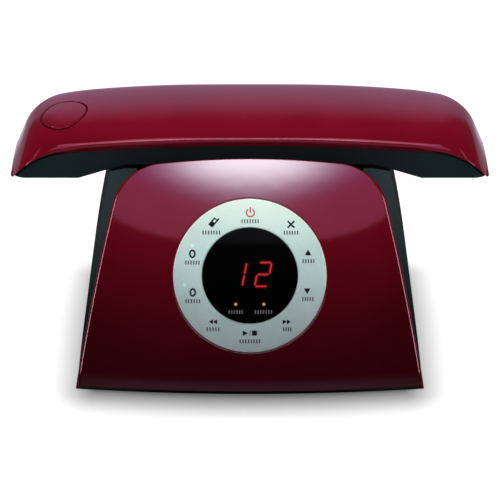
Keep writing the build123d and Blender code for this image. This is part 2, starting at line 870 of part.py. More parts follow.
# Speaker lying face down over the cover's slots
with BuildPart() as base_speaker:
    with BuildSketch(Plane.XZ):
        with BuildLine():
            Polyline(
                (speaker_radius - speaker_rim, 0),
                (speaker_radius, 0),
                (speaker_radius, speaker_rim),
                (magnet_radius, speaker_height - magnet_height),
                (magnet_radius, speaker_height),
                (0, speaker_height),
                (0, speaker_height - magnet_height),
                (magnet_radius - speaker_rim, speaker_height - magnet_height),
                (speaker_radius - speaker_rim, speaker_rim),
                close=True,
            )
        make_face()
    revolve(axis=Axis.Z)
base_speaker.part.locate(Location((*speaker_place, cover_top)))
save(base_speaker, "base_speaker")

with BuildPart() as speaker_cone:
    with BuildSketch(Plane.XZ):
        with BuildLine():
            Polyline(
                (speaker_radius - speaker_rim - fit_gap, cone_skin),
                (speaker_radius - speaker_rim - fit_gap, 2 * cone_skin),
                (cone_dome_radius, speaker_height - magnet_height - cone_skin),
                (0, speaker_height - magnet_height - 2 * cone_skin),
                (0, speaker_height - magnet_height - 3 * cone_skin),
                (cone_dome_radius, speaker_height - magnet_height - 2 * cone_skin),
                close=True,
            )
        make_face()
    revolve(axis=Axis.Z)
speaker_cone.part.locate(Location((*speaker_place, cover_top)))
save(speaker_cone, "speaker_cone")

# Ribbon cable from the back of the display board down to the main board
cable_start_v = ring_rise - cable_drop_share * ring_outer_radius
cable_start = face_plane.from_local_coords((0, cable_start_v, -display_board_set - board_thickness))
with BuildPart() as ribbon_cable:
    with BuildSketch(Plane.YZ):
        with BuildLine():
            FilletPolyline(
                (cable_start.Y, cable_start.Z),
                (cable_start.Y + cable_reach * cos(lean), cable_start.Z - cable_reach * sin(lean)),
                (cable_end_y, board_top + cable_rise),
                (cable_end_y, board_top),
                radius=cable_bend,
            )
        trace(line_width=cable_thickness)
    extrude(amount=cable_width / 2, both=True)
save(ribbon_cable, "ribbon_cable")

# Charge contacts standing in the cradle's floor, and the block that holds them
with BuildPart() as contact_block:
    with BuildSketch(Plane.XY.offset(trough_z - body_wall)):
        with Locations((contact_x, handset_y)):
            Rectangle(contact_block_length, contact_block_width)
    extrude(amount=-contact_block_height)
    with BuildSketch(Plane.XY.offset(trough_z - body_wall)):
        with Locations(*contact_places):
            Rectangle(
                contact_length + 2 * contact_flange + 2 * slide_gap,
                contact_width + 2 * contact_flange + 2 * slide_gap,
            )
    extrude(amount=-contact_flange - contact_travel - slide_gap, mode=Mode.SUBTRACT)
save(contact_block, "contact_block")

for side, place in zip(("front", "rear"), contact_places):
    with BuildPart() as charge_contact:
        with BuildSketch(Plane.XY.offset(trough_z - body_wall)):
            with Locations(place):
                RectangleRounded(contact_length, contact_width, contact_round)
        extrude(amount=grip_z - contact_touch - trough_z + body_wall)
        fillet(charge_contact.faces().sort_by(Axis.Z)[-1].edges(), contact_edge)
        with BuildSketch(Plane.XY.offset(trough_z - body_wall)):
            with Locations(place):
                Rectangle(contact_length + 2 * contact_flange, contact_width + 2 * contact_flange)
        extrude(amount=-contact_flange)
    save(charge_contact, f"charge_contact_{side}")

# Handset's top shell: the arched skin down to the parting line, with screw bosses and the button's collar
level_reach = half_length - handset_end_slope - handset_level_half
button_z = top_z - handset_shoulder_drop * ((-button_place - handset_level_half) / level_reach) ** 2
button_turn = radians(button_tilt)
button_plane = Plane(
    (button_place, handset_y + button_offset_share * handset_width / 2, button_z),
    (cos(button_turn), 0, sin(button_turn)),
    (-sin(button_turn), 0, cos(button_turn)),
)
collar_radius = button_radius + button_groove
collar_depth = button_depth + button_travel + pilot_gap + switch_height + switch_plunger_height

with BuildPart() as shell_bosses:
    with BuildSketch(Plane.XY.offset(floor_in)):
        with Locations(*case_screw_places):
            Circle(boss_radius)
    extrude(amount=top_z - floor_in)
    with BuildSketch(button_plane.offset(-collar_depth)):
        Circle(collar_radius + collar_wall)
    extrude(amount=collar_depth)
    add(handset_block(handset_wall / 2, end_z), mode=Mode.INTERSECT)

with BuildPart() as handset_top_shell:
    add(handset_block(0, end_z + tip_lift))
    add(handset_block(handset_wall, end_z - cut_over), mode=Mode.SUBTRACT)
    add(below_parting(cut_over), mode=Mode.SUBTRACT)
    add(shell_bosses.part)
    with BuildSketch(button_plane.offset(-collar_depth)):
        Circle(collar_radius)
    extrude(amount=collar_depth + cut_over, mode=Mode.SUBTRACT)
    with BuildSketch(Plane.XY.offset(floor_in)):
        with Locations(*case_screw_places):
            Circle(screw_radius + pilot_gap)
    extrude(amount=screw_length, mode=Mode.SUBTRACT)
save(handset_top_shell, "handset_top_shell")

with BuildPart() as end_button:
    with BuildSketch(button_plane.offset(-button_depth)):
        Circle(button_radius)
    extrude(amount=button_depth + cut_over)
    add(handset_block(0, end_z), mode=Mode.INTERSECT)
save(end_button, "end_button")

with BuildPart() as button_board:
    with BuildSketch(button_plane.offset(-collar_depth)):
        Circle(collar_radius + collar_wall)
    extrude(amount=-button_board_thickness)
save(button_board, "button_board")

with BuildPart() as button_switch:
    with BuildSketch(button_plane.offset(-collar_depth)):
        Rectangle(switch_side, switch_side)
    extrude(amount=switch_height)
    with BuildSketch(button_plane.offset(switch_height - collar_depth)):
        Circle(switch_plunger_radius)
    extrude(amount=switch_plunger_height)
save(button_switch, "button_switch")

# Handset's lower shell: a tray under the parting line with holes for keys, screen, pads and door
key_places = {
    "soft_key_left": (soft_row, key_columns["left"]),
    "soft_key_right": (soft_row, key_columns["right"]),
    "talk_key": (function_row, key_columns["left"]),
    "off_key": (function_row, key_columns["right"]),
}
for row, names in enumerate(dial_rows):
    for name, column in zip(names, key_columns.values()):
        key_places[name] = (key_first_row + row * key_row_pitch, column)

with BuildPart() as lower_hollow:
    add(handset_block(lower_inset + handset_wall, end_floor_in))
    add(above_underside(handset_wall), mode=Mode.INTERSECT)

with BuildPart() as battery_ribs:
    with BuildSketch(Plane.XY.offset(battery_bottom)):
        with Locations((battery_start + battery_rib, handset_y), (battery_end - battery_rib, handset_y)):
            Rectangle(battery_rib, battery_width)
    extrude(amount=end_z - battery_bottom)
    add(above_underside(handset_wall / 2), mode=Mode.INTERSECT)

with BuildPart() as handset_lower_shell:
    add(handset_block(lower_inset, end_z))
    add(below_parting(cut_over), mode=Mode.INTERSECT)
    add(above_underside(0), mode=Mode.INTERSECT)
    add(lower_hollow.part, mode=Mode.SUBTRACT)
    add(battery_ribs.part)
    with BuildSketch(Plane.XY.offset(grip_z)):
        with Locations(*key_places.values()):
            RectangleRounded(key_length + 2 * slide_gap, key_width + 2 * slide_gap, key_corner)
        with Locations((rocker_center, handset_y)):
            RectangleRounded(rocker_length + 2 * rocker_gap, rocker_width + 2 * rocker_gap, key_corner)
        with Locations((screen_center, handset_y)):
            Rectangle(screen_length, screen_width)
        with Locations(*contact_places):
            Rectangle(pad_length + 2 * fit_gap, pad_width + 2 * fit_gap)
        with Locations(*case_screw_places):
            Circle(screw_radius + fit_gap)
    extrude(amount=handset_wall, mode=Mode.SUBTRACT)
    with BuildSketch(Plane.XY.offset(grip_z)):
        with Locations(*case_screw_places):
            Circle(screw_head_radius + fit_gap)
    extrude(amount=screw_head_height, mode=Mode.SUBTRACT)
    with BuildSketch(Plane.XY.offset(end_z)):
        with Locations((ear_speaker_place, handset_y)):
            Circle(ear_hole_radius)
            with PolarLocations(ear_hole_circle_radius, ear_hole_count):
                Circle(ear_hole_radius)
        with Locations((microphone_place, handset_y)):
            Circle(microphone_hole_radius)
    extrude(amount=handset_wall, mode=Mode.SUBTRACT)
    with BuildSketch(Plane.XY.offset(end_z)):
        with Locations((door_start, handset_y)):
            Rectangle(door_end - door_start, door_width, align=(Align.MIN, Align.CENTER))
    extrude(amount=battery_bottom - end_z, mode=Mode.SUBTRACT)
save(handset_lower_shell, "handset_lower_shell")

handset_screws = screw_group(case_screw_places, Plane.XY.offset(grip_z + screw_head_height), screw_length)
save(handset_screws, "handset_screws")

# Battery door: the piece of the lower shell's bent floor that fills the battery opening
with BuildPart() as battery_door:
    with BuildSketch(Plane.XY.offset(end_z)):
        with Locations((door_start + fit_gap, handset_y)):
            Rectangle(
                door_end - door_start - 2 * fit_gap,
                door_width - 2 * fit_gap,
                align=(Align.MIN, Align.CENTER),
            )
    extrude(amount=battery_bottom - end_z)
    add(above_underside(0), mode=Mode.INTERSECT)
    add(above_underside(handset_wall), mode=Mode.SUBTRACT)
save(battery_door, "battery_door")

# Battery pack: two cells side by side in one sleeve
with BuildPart() as battery_pack:
    with BuildSketch(Plane.YZ.offset(battery_start)):
        with Locations((handset_y, battery_bottom + battery_cell_radius)):
            SlotOverall(battery_width, 2 * battery_cell_radius)
    extrude(amount=battery_length)
save(battery_pack, "battery_pack")

# Ear speaker and microphone on the floors of the two ends
with BuildPart() as ear_speaker:
    with BuildSketch(Plane.XY.offset(end_floor_in)):
        with Locations((ear_speaker_place, handset_y)):
            Circle(ear_speaker_radius)
    extrude(amount=ear_speaker_height)
    fillet(ear_speaker.faces().sort_by(Axis.Z)[-1].edges(), ear_hole_radius)
save(ear_speaker, "ear_speaker")

with BuildPart() as microphone:
    with BuildSketch(Plane.XY.offset(end_floor_in)):
        with Locations((microphone_place, handset_y)):
            Circle(microphone_radius)
    extrude(amount=microphone_height)
save(microphone, "microphone")

# Screen window in the floor and the screen behind it
with BuildPart() as screen_window:
    with BuildSketch(Plane.XY.offset(grip_z)):
        with Locations((screen_center, handset_y)):
            Rectangle(screen_length - 2 * fit_gap, screen_width - 2 * fit_gap)
    extrude(amount=handset_wall)
save(screen_window, "screen_window")

with BuildPart() as screen_module:
    with BuildSketch(Plane.XY.offset(floor_in)):
        with Locations((screen_center, handset_y)):
            Rectangle(screen_module_length, screen_module_width)
    extrude(amount=mat_thickness)
save(screen_module, "screen_module")

# Keypad mat: a rubber sheet on the floor with a pocket over each key
with BuildPart() as keypad_mat:
    with BuildSketch(Plane.XY.offset(floor_in)):
        with Locations((mat_start, handset_y)):
            Rectangle(mat_end - mat_start, mat_width, align=(Align.MIN, Align.CENTER))
    extrude(amount=mat_thickness)
    with BuildSketch(Plane.XY.offset(floor_in)):
        with Locations(*key_places.values()):
            Rectangle(
                key_length + 2 * (key_flange + slide_gap), key_width + 2 * (key_flange + slide_gap)
            )
        with Locations((rocker_center, handset_y)):
            Rectangle(rocker_length + 2 * rocker_gap, rocker_width + 2 * (rocker_pin + slide_gap))
    extrude(amount=key_pocket, mode=Mode.SUBTRACT)
save(keypad_mat, "keypad_mat")

with BuildPart() as handset_board:
    with BuildSketch(Plane.XY.offset(floor_in + mat_thickness)):
        with Locations((screen_center - screen_module_length / 2, handset_y)):
            Rectangle(
                handset_board_end - screen_center + screen_module_length / 2,
                screen_module_width,
                align=(Align.MIN, Align.CENTER),
            )
    extrude(amount=board_thickness)
save(handset_board, "handset_board")

# Charge pads in the floor, with posts up to the board
with BuildPart() as charge_pads:
    with BuildSketch(Plane.XY.offset(grip_z)):
        with Locations(*contact_places):
            Rectangle(pad_length, pad_width)
    extrude(amount=handset_wall)
    with BuildSketch(Plane.XY.offset(floor_in)):
        with Locations(*contact_places):
            Rectangle(pad_post, pad_post)
    extrude(amount=mat_thickness)
save(charge_pads, "charge_pads")

# Keys
for name, place in key_places.items():
    save(push_key(*place), name)

with BuildPart() as rocker_key:
    with BuildSketch(Plane.XY.offset(grip_z - key_proud)):
        with Locations((rocker_center, handset_y)):
            RectangleRounded(rocker_length, rocker_width, key_corner)
    extrude(amount=rocker_axis_z + rocker_pivot_radius - grip_z + key_proud)
    fillet(rocker_key.faces().sort_by(Axis.Z)[0].edges(), key_edge)
    with BuildSketch(handset_plane):
        with Locations((rocker_center, rocker_axis_z)):
            Circle(rocker_pivot_radius)
    extrude(amount=rocker_width / 2 + rocker_pin, both=True)
save(rocker_key, "rocker_key")
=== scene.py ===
"""A cordless telephone: an arched red handset lies across a wedge base with a round touch ring."""

import bpy
import numpy as np
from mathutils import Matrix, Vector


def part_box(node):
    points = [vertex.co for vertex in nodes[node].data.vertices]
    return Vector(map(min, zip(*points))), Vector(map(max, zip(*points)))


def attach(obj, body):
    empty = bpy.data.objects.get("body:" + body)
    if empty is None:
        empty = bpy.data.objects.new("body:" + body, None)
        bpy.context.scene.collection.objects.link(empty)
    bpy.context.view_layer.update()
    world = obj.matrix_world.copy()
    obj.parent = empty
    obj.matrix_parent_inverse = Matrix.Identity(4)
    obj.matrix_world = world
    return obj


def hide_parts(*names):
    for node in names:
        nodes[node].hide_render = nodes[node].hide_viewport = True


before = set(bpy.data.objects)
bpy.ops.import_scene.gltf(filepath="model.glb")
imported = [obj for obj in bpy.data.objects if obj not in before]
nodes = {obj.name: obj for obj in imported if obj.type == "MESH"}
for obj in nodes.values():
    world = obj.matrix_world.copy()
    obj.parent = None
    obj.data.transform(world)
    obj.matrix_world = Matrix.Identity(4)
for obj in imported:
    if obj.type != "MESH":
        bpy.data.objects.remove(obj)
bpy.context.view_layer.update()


# Base body: a one-piece wedge moulded in black plastic with a fine sparked grain.
# Every other part of the base is screwed or snapped to it, and the handset lies in its cradle.
class Socket:
    """A shader socket: sums on it add Math nodes, and node() adds any other kind of node."""

    def __init__(self, tree, link):
        self.tree, self.link = tree, link

    def node(self, kind, settings, sockets, out=0):
        """A node of a kind: its settings are set first, then its sockets, each a value or a Socket.
        What comes back is one of its outputs, by number or by name."""
        made = self.tree.nodes.new("ShaderNode" + kind)
        for name, value in settings.items():
            setattr(made, name, value)
        for name, value in sockets.items():
            if isinstance(value, Socket):
                self.tree.links.new(value.link, made.inputs[name])
            else:
                made.inputs[name].default_value = value
        return Socket(self.tree, made.outputs[out])

    def math(self, operation, first, second=0.0):
        return self.node("Math", {"operation": operation}, {0: first, 1: second})

    def vector(self, operation, second=(0.0, 0.0, 0.0), out="Vector"):
        """This vector with a second one, which is given as a tuple or a Socket."""
        return self.node("VectorMath", {"operation": operation}, {0: self, 1: second}, out)

    def __add__(self, other):
        return self.math("ADD", self, other)

    def __sub__(self, other):
        return self.math("SUBTRACT", self, other)

    def __rsub__(self, other):
        return self.math("SUBTRACT", other, self)

    def __mul__(self, other):
        return self.math("MULTIPLY", self, other)

    def __truediv__(self, other):
        return self.math("DIVIDE", self, other)

    def __pow__(self, other):
        return self.math("POWER", self, other)

    def __abs__(self):
        return self.math("ABSOLUTE", self)

    __radd__, __rmul__ = __add__, __mul__

    def part(self, axis):
        """One of a vector's three numbers."""
        return self.node("SeparateXYZ", {}, {0: self}, axis)

    def noise(self, scale, detail):
        return self.node("TexNoise", {}, {"Vector": self, "Scale": scale, "Detail": detail})

    def between(self, low, high):
        """0 below low, 1 above high, and a smooth step from one to the other."""
        return self.node("MapRange", {"interpolation_type": "SMOOTHSTEP"},
                         {"Value": self, "From Min": low, "From Max": high})

    def blend(self, first, second):
        """A colour that goes from the first to the second as this value goes from 0 to 1."""
        ends = [end if isinstance(end, Socket) else (*end, 1.0) for end in (first, second)]
        return self.node("Mix", {"data_type": "RGBA"}, {0: self, 6: ends[0], 7: ends[1]}, 2)

    def feed(self, shader, name):
        self.tree.links.new(self.link, shader.inputs[name])

    def emboss(self, shader, strength, distance=0.0001):
        """Raise the surface a little where this value is high."""
        raised = {"Strength": strength, "Distance": distance, "Height": self}
        self.node("Bump", {}, raised).feed(shader, "Normal")


def start_finish(name, **fixed):
    """A new material: its shader with the fixed values set, and the object's coordinates."""
    material = bpy.data.materials.new(name)
    material.use_nodes = True
    tree = material.node_tree
    shader = tree.nodes["Principled BSDF"]
    for socket, value in fixed.items():
        shader.inputs[socket.replace("_", " ")].default_value = value
    place = Socket(tree, tree.nodes.new("ShaderNodeTexCoord").outputs["Object"])
    return material, shader, place


def black_plastic(name, outer, reach):
    """Black plastic with a fine grain and a slow random tone, over painted shade and light: painted shade
    leaves it deep black near the middle plane, and painted light lifts it to the outer tone from reach on.
    """
    shaded_black, middle = (0.005, 0.0065, 0.007), 0.04
    material, shader, place = start_finish(name, IOR=1.1)
    drift, grain = place.noise(45.0, 3.0), place.noise(1500.0, 2.0)
    # Painted shade and light: the colour goes from deep black near the middle plane to the lighter outer
    # tone at the sides, with a little random tone mixed in.
    shade = 0.8 * abs(place.part(0)).between(middle, reach) + 0.2 * drift
    shade.blend(shaded_black, outer).feed(shader, "Base Color")
    (0.6 + 0.15 * grain).feed(shader, "Roughness")
    grain.emboss(shader, 0.25)
    return material


def dress(material, *names):
    """Give CAD nodes a finish in place of their own."""
    for name in names:
        nodes[name].data.materials.clear()
        nodes[name].data.materials.append(material)


# Painted shade and light in the base's black: darker at the middle, lighter towards the sides.
black_satin = black_plastic("black_satin", (0.028, 0.042, 0.042), 0.07)
dress(black_satin, "base_body_shell")


# Bottom cover, feet and screws: a black cover under the base, with four soft rubber feet in recesses
# and four cross-head screws of bright steel.
def moulded(name, dark, light, rough, grain, relief, patch=45.0, **fixed):
    """A finish whose two close shades drift over slow patches, with a fine grain in gloss and relief."""
    material, shader, place = start_finish(name, **fixed)
    drift, fine = place.noise(patch, 3.0), place.noise(grain, 2.0)
    drift.between(0.3, 0.7).blend(dark, light).feed(shader, "Base Color")
    (rough[0] + (rough[1] - rough[0]) * fine).feed(shader, "Roughness")
    fine.emboss(shader, relief)
    return material


dress(black_satin, "bottom_cover")
rubber = moulded("rubber", (0.018, 0.018, 0.019), (0.03, 0.03, 0.031),
                 rough=(0.7, 0.9), grain=700.0, relief=0.4)
dress(rubber, "rubber_feet")
steel = moulded("steel", (0.42, 0.43, 0.44), (0.56, 0.57, 0.58),
                rough=(0.22, 0.4), grain=900.0, relief=0.1, Metallic=1.0)
dress(steel, "bottom_cover_screws")

# Inside the base: the main board with its shield can, capacitors and jacks, the loudspeaker, the display
# board with its touch board, and the flat cable between them. Boards are green lacquer on glass fibre.
board_green = moulded("board_green", (0.012, 0.09, 0.03), (0.025, 0.15, 0.055),
                      rough=(0.3, 0.45), grain=400.0, relief=0.2, patch=300.0)
dress(board_green, "main_board", "display_board", "touch_board")
dress(steel, "main_board_screws", "display_board_screws", "base_speaker")
shield_metal = moulded("shield_metal", (0.5, 0.5, 0.48), (0.63, 0.63, 0.6),
                       rough=(0.28, 0.42), grain=300.0, relief=0.1, Metallic=1.0)
dress(shield_metal, "radio_shield")
can_metal = moulded("can_metal", (0.6, 0.6, 0.62), (0.72, 0.72, 0.74),
                    rough=(0.2, 0.34), grain=500.0, relief=0.1, Metallic=1.0)
dress(can_metal, "board_capacitors")
dress(black_satin, "line_jack", "power_jack", "touch_header")
cone_paper = moulded("cone_paper", (0.045, 0.045, 0.045), (0.07, 0.069, 0.067),
                     rough=(0.8, 0.95), grain=600.0, relief=0.5)
dress(cone_paper, "speaker_cone")
cable_grey = moulded("cable_grey", (0.38, 0.38, 0.39), (0.5, 0.5, 0.51),
                     rough=(0.5, 0.65), grain=500.0, relief=0.2)
dress(cable_grey, "ribbon_cable")
digit_block = moulded("digit_block", (0.035, 0.008, 0.009), (0.06, 0.013, 0.014),
                      rough=(0.5, 0.65), grain=500.0, relief=0.2)
dress(digit_block, "digit_display")
red_lamp = moulded("red_lamp", (0.7, 0.02, 0.02), (0.85, 0.04, 0.035),
                   rough=(0.12, 0.2), grain=400.0, relief=0.05)
dress(red_lamp, "indicator_lamps")

# Charge contacts: two sprung brass strips with a gold flash, which the handset's pads press down.
# They stand in a black block at the cradle's right.
contact_gold = moulded("contact_gold", (0.6, 0.44, 0.17), (0.76, 0.58, 0.26),
                       rough=(0.16, 0.3), grain=700.0, relief=0.1, Metallic=1.0)
dress(contact_gold, "charge_contact_front", "charge_contact_rear")
dress(black_satin, "contact_block")

# Front fascia: a bowed shield of red plastic under clear lacquer, with a rounded edge all round.
# It is screwed to the base from behind, and a stepped round seat in it takes the ring and the window.
LEAN = np.radians(28.0)
FOOT_Y, FOOT_Z = -52.785, 2.0
BOW_RADIUS, BOW_DEPTH = 578.47, 9.0
RING_UP = 52.3
MM = 0.001


def on_face(across, up, out):
    """Points of the leaning face: across it, up along it, and out from it, in millimetres."""
    rise, run = np.cos(LEAN), np.sin(LEAN)
    back, high = FOOT_Y + up * run - out * rise, FOOT_Z + up * rise + out * run
    return np.stack(np.broadcast_arrays(across, back, high), -1)


def bow(across):
    """How far the bowed front stands out from the face: a circle, BOW_DEPTH out at the middle."""
    return BOW_DEPTH - BOW_RADIUS + np.sqrt(BOW_RADIUS**2 - across**2)


def front(across, up):
    """The fascia's front: the bow, rolled under by a growing slope over the lowest 8.5 mm."""
    roll_from, roll = 8.5, 0.017
    past = np.clip(roll_from - bow(across) * np.tan(LEAN) - up, 0.0, None)
    return bow(across) - roll * past**2


def foot_line(across):
    """The fascia's lower edge on the face: level along the bow, and a little lower to the corners."""
    drop, corner_drop, corner = 0.6, 0.9, 80.0
    return -bow(across) * np.tan(LEAN) - drop - corner_drop * (across / corner) ** 2


def bands(rings):
    """Four-sided faces between rings of point numbers: each ring joins the next, and closes on itself."""
    near, far = rings[:-1], rings[1:]
    faces = np.stack([near, np.roll(near, -1, 1), np.roll(far, -1, 1), far], -1)
    return faces.reshape(-1, 4)


def fan(ring, middle):
    """Three-sided faces from a ring of point numbers to one middle point."""
    return np.stack([ring, np.roll(ring, -1), np.full(len(ring), middle)], -1).tolist()


def piece(name, points, faces, material, sharp=40.0):
    """A mesh object from points in millimetres. The volume under its faces tells if they point inwards."""
    corners = np.array([f[:3] for f in faces] + [[f[0], f[2], f[3]] for f in faces if len(f) == 4])
    a, b, c = points[corners[:, 0]], points[corners[:, 1]], points[corners[:, 2]]
    if np.einsum("ij,ij->i", a, np.cross(b, c)).sum() < 0:
        faces = [f[::-1] for f in faces]
    mesh = bpy.data.meshes.new(name)
    mesh.from_pydata(points * MM, [], faces)
    mesh.shade_smooth()
    mesh.set_sharp_from_angle(angle=np.radians(sharp))
    mesh.materials.append(material)
    made = bpy.data.objects.new(name, mesh)
    bpy.context.scene.collection.objects.link(made)
    return made


def skin(name, grid, material, tube=False, sharp=40.0):
    """A closed surface over rows of points, each row a ring. As a tube the last row meets the first,
    and otherwise a fan closes each end on its mean point."""
    rows, columns = grid.shape[:2]
    rings = np.arange(rows * columns).reshape(rows, columns)
    points = grid.reshape(-1, 3)
    if tube:
        faces = bands(np.vstack([rings, rings[:1]])).tolist()
    else:
        points = np.vstack([points, grid[0].mean(0), grid[-1].mean(0)])
        faces = bands(rings).tolist() + fan(rings[0][::-1], rows * columns)
        faces += fan(rings[-1], rows * columns + 1)
    return piece(name, points, faces, material, sharp)


def circle_through(first, second, third):
    """Centre and radius of the circle through three points."""
    sides = 2 * np.array([second - first, third - first])
    center = np.linalg.solve(sides, [second @ second - first @ first, third @ third - first @ first])
    return center, np.linalg.norm(first - center)


def arc(center, radius, start, end, count):
    """Points along a circle from one angle to another."""
    turn = np.linspace(start, end, count)
    return center + radius * np.stack([np.cos(turn), np.sin(turn)], -1)


def angle_of(vector):
    return np.arctan2(vector[1], vector[0])


def fascia_outline(count):
    """The shield's outline as evenly spaced points from the foot's middle round by the right: the foot lies
    on the cover's plane, a slow arc is the side, a circle of 26 mm the shoulder, a slow arc the head.
    Averaging over about 1 mm rounds the foot's corners."""
    shoulder_radius, rounding = 26.0, 0.6
    side_points = np.array([(85.3, -9.0), (75.2, 47.05), (62.2, 103.1)])
    head_points = np.array([(62.0, 103.6), (0.0, 108.4), (-62.0, 103.6)])
    side, side_radius = circle_through(*side_points)
    head, head_radius = circle_through(*head_points)
    side_reach, head_reach = side_radius - shoulder_radius, head_radius - shoulder_radius
    gap = head - side
    distance = np.linalg.norm(gap)
    along = (distance**2 + side_reach**2 - head_reach**2) / (2 * distance)
    aside = np.sqrt(side_reach**2 - along**2)
    square = np.array([-gap[1], gap[0]])
    choices = [side + along * gap / distance + turn * aside * square / distance for turn in (-1, 1)]
    shoulder = max(choices, key=lambda point: point[1])
    low, high = angle_of(shoulder - side), angle_of(shoulder - head)
    flank = arc(side, side_radius, angle_of(side_points[0] - side), low, 400)
    flank = flank[flank[:, 1] > foot_line(flank[:, 0])]
    across = np.linspace(0.0, flank[0, 0], 200)[:-1]
    foot = np.stack([across, foot_line(across)], -1)
    half = np.vstack([foot, flank, arc(shoulder, shoulder_radius, low, high, 120)[1:],
                      arc(head, head_radius, high, np.pi / 2, 150)[1:]])
    whole = np.vstack([half, half[-2:0:-1] * (-1, 1)])
    whole = np.vstack([whole, whole[:1]])
    run = np.concatenate([[0.0], np.cumsum(np.linalg.norm(np.diff(whole, axis=0), axis=1))])
    even = np.linspace(0.0, run[-1], count, endpoint=False)
    points = np.interp(even, run, whole[:, 0]) + 1j * np.interp(even, run, whole[:, 1])
    waves = np.fft.fftfreq(count, run[-1] / count)
    points = np.fft.ifft(np.fft.fft(points) * np.exp(-2 * (np.pi * waves * rounding) ** 2))
    return np.stack([points.real, points.imag], -1)


def fascia_rows():
    """Rings of the fascia from the ring's seat out over the bowed front, round the edge, down the side and
    back inside to the seat. The front is drawn straight from the round hole to the outline. The side goes
    back to the face, or to the cradle's plane where that lies ahead of it. Also how far each point of the
    outline looks down, from 0 to 1."""
    side_edge, foot_less, head_less = 2.3, 0.4, 2.15
    ledge_radius, seat_radius, hole_radius = 32.9, 37.3, 37.6
    back_depth, ledge_depth, border = 3.5, 7.0, 0.25
    cradle_y, floor_gap = -6.776, 0.2
    rim = fascia_outline(720)
    along = np.roll(rim, -1, 0) - np.roll(rim, 1, 0)
    out = np.stack([along[:, 1], -along[:, 0]], -1) / np.linalg.norm(along, axis=1)[:, None]
    low, high = np.clip(-out[:, 1], 0, 1), np.clip(out[:, 1], 0, 1)
    edge = side_edge - foot_less * low - head_less * high**1.5
    inner = rim - edge[:, None] * out
    turn = np.arctan2(rim[:, 1] - RING_UP, rim[:, 0])
    spoke = np.stack([np.cos(turn), np.sin(turn)], -1)

    def seat(radius, depth):
        return on_face(*((0.0, RING_UP) + radius * spoke).T, depth)

    rows = [seat(ledge_radius, back_depth), seat(ledge_radius, ledge_depth), seat(seat_radius, ledge_depth)]
    lips = [(seat_radius, 0.2), (37.32, 0.1), (37.37, 0.03), (37.45, 0.0), (hole_radius, 0.0)]
    rows += [seat(radius, bow(radius * spoke[:, 0]) - drop) for radius, drop in lips]
    hole, last = (0.0, RING_UP) + hole_radius * spoke, inner - border * out
    flats = [(1 - share) * hole + share * last for share in np.linspace(0, 1, 20)[1:]] + [inner]
    rows += [on_face(*flat.T, front(*flat.T)) for flat in flats]
    crest = front(*inner.T)
    for bend in np.radians(np.linspace(0, 90, 13))[1:]:
        flat = inner + (edge * np.sin(bend))[:, None] * out
        drop = edge * (1 - np.cos(bend))
        rows.append(on_face(flat[:, 0], flat[:, 1] + drop * np.tan(LEAN) * low, crest - drop))
    ahead = crest - edge
    behind = np.clip((FOOT_Y + rim[:, 1] * np.sin(LEAN) - cradle_y) / np.cos(LEAN), 0.0, ahead)
    for share in np.linspace(0, 1, 6)[1:]:
        depth = (1 - share) * ahead + share * behind
        rows.append(on_face(rim[:, 0], rim[:, 1] + (crest - depth) * np.tan(LEAN) * low, depth))
    rows = np.stack(rows + [seat(41.0, 2.0), seat(36.0, back_depth)])
    rows[..., 2] = np.maximum(rows[..., 2], floor_gap)
    return rows, low


red_gloss, shader, place = start_finish("red_gloss", IOR=1.5)
drift, fleck = place.noise(30.0, 3.0), place.noise(2600.0, 1.0)
shade = 0.7 * drift + 0.3 * fleck
wine, ruby = (0.128, 0.0022, 0.0095), (0.15, 0.0034, 0.0125)
shade.between(0.3, 0.7).blend(wine, ruby).feed(shader, "Base Color")
(0.02 + 0.02 * drift).feed(shader, "Roughness")
place.noise(160.0, 1.0).emboss(shader, 0.012, 0.0003)

rows, low = fascia_rows()
fascia = skin("fascia_shield", rows, red_gloss, tube=True)
# Along the foot, the last strip of the front, the rounded edge and the side are given the black plastic in
# place of the red: a black band at the shield's lower edge.
edge_and_side = slice(26, 45)
black_edge = np.zeros(rows.shape[:2], np.int32)
black_edge[edge_and_side] = low > 0.8
fascia.data.materials.append(black_satin)
fascia.data.polygons.foreach_set("material_index", black_edge.ravel())
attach(fascia, "base")
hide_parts("front_fascia")
dress(steel, "fascia_screws")


# Control ring: one flat touch panel with silver paint behind clear plastic, rounded at both edges. It is
# glued on the seat's ledge, a little proud of the fascia. Its paint is lighter over the top with painted
# light, and a painted highlight runs round its outer edge.
def turned(name, profile, material, tube):
    """A turned piece on the ring's axis: a profile of radius and depth goes once round."""
    turn = np.linspace(0, 2 * np.pi, 256, endpoint=False)
    radius, depth = np.array(profile).T[:, :, None]
    grid = on_face(radius * np.cos(turn), RING_UP + radius * np.sin(turn), depth)
    return skin(name, grid, material, tube, 50.0)


RING_FACE = 9.4
silver_ring, shader, place = start_finish("silver_ring", Metallic=0.15, Coat_Weight=0.1, Coat_Roughness=0.12)
fleck = place.node("TexVoronoi", {}, {"Vector": place, "Scale": 3500.0})
shade = 0.6 * place.noise(60.0, 4.0) + 0.4 * fleck
paint = shade.between(0.2, 0.75).blend((0.51, 0.76, 0.67), (0.62, 0.92, 0.81))
# Painted light: the silver is lighter over the ring's top, from 60 to 92 mm above the floor.
painted_top_light, painted_top_colour = place.part(2).between(0.06, 0.092), (0.74, 0.93, 0.81)
paint = painted_top_light.blend(paint, painted_top_colour)
middle = on_face(0.0, RING_UP, RING_FACE) * MM
axis = on_face(0.0, 0.0, 1.0) - on_face(0.0, 0.0, 0.0)
spoke = place.vector("SUBTRACT", tuple(middle)).vector("CROSS_PRODUCT", tuple(axis))
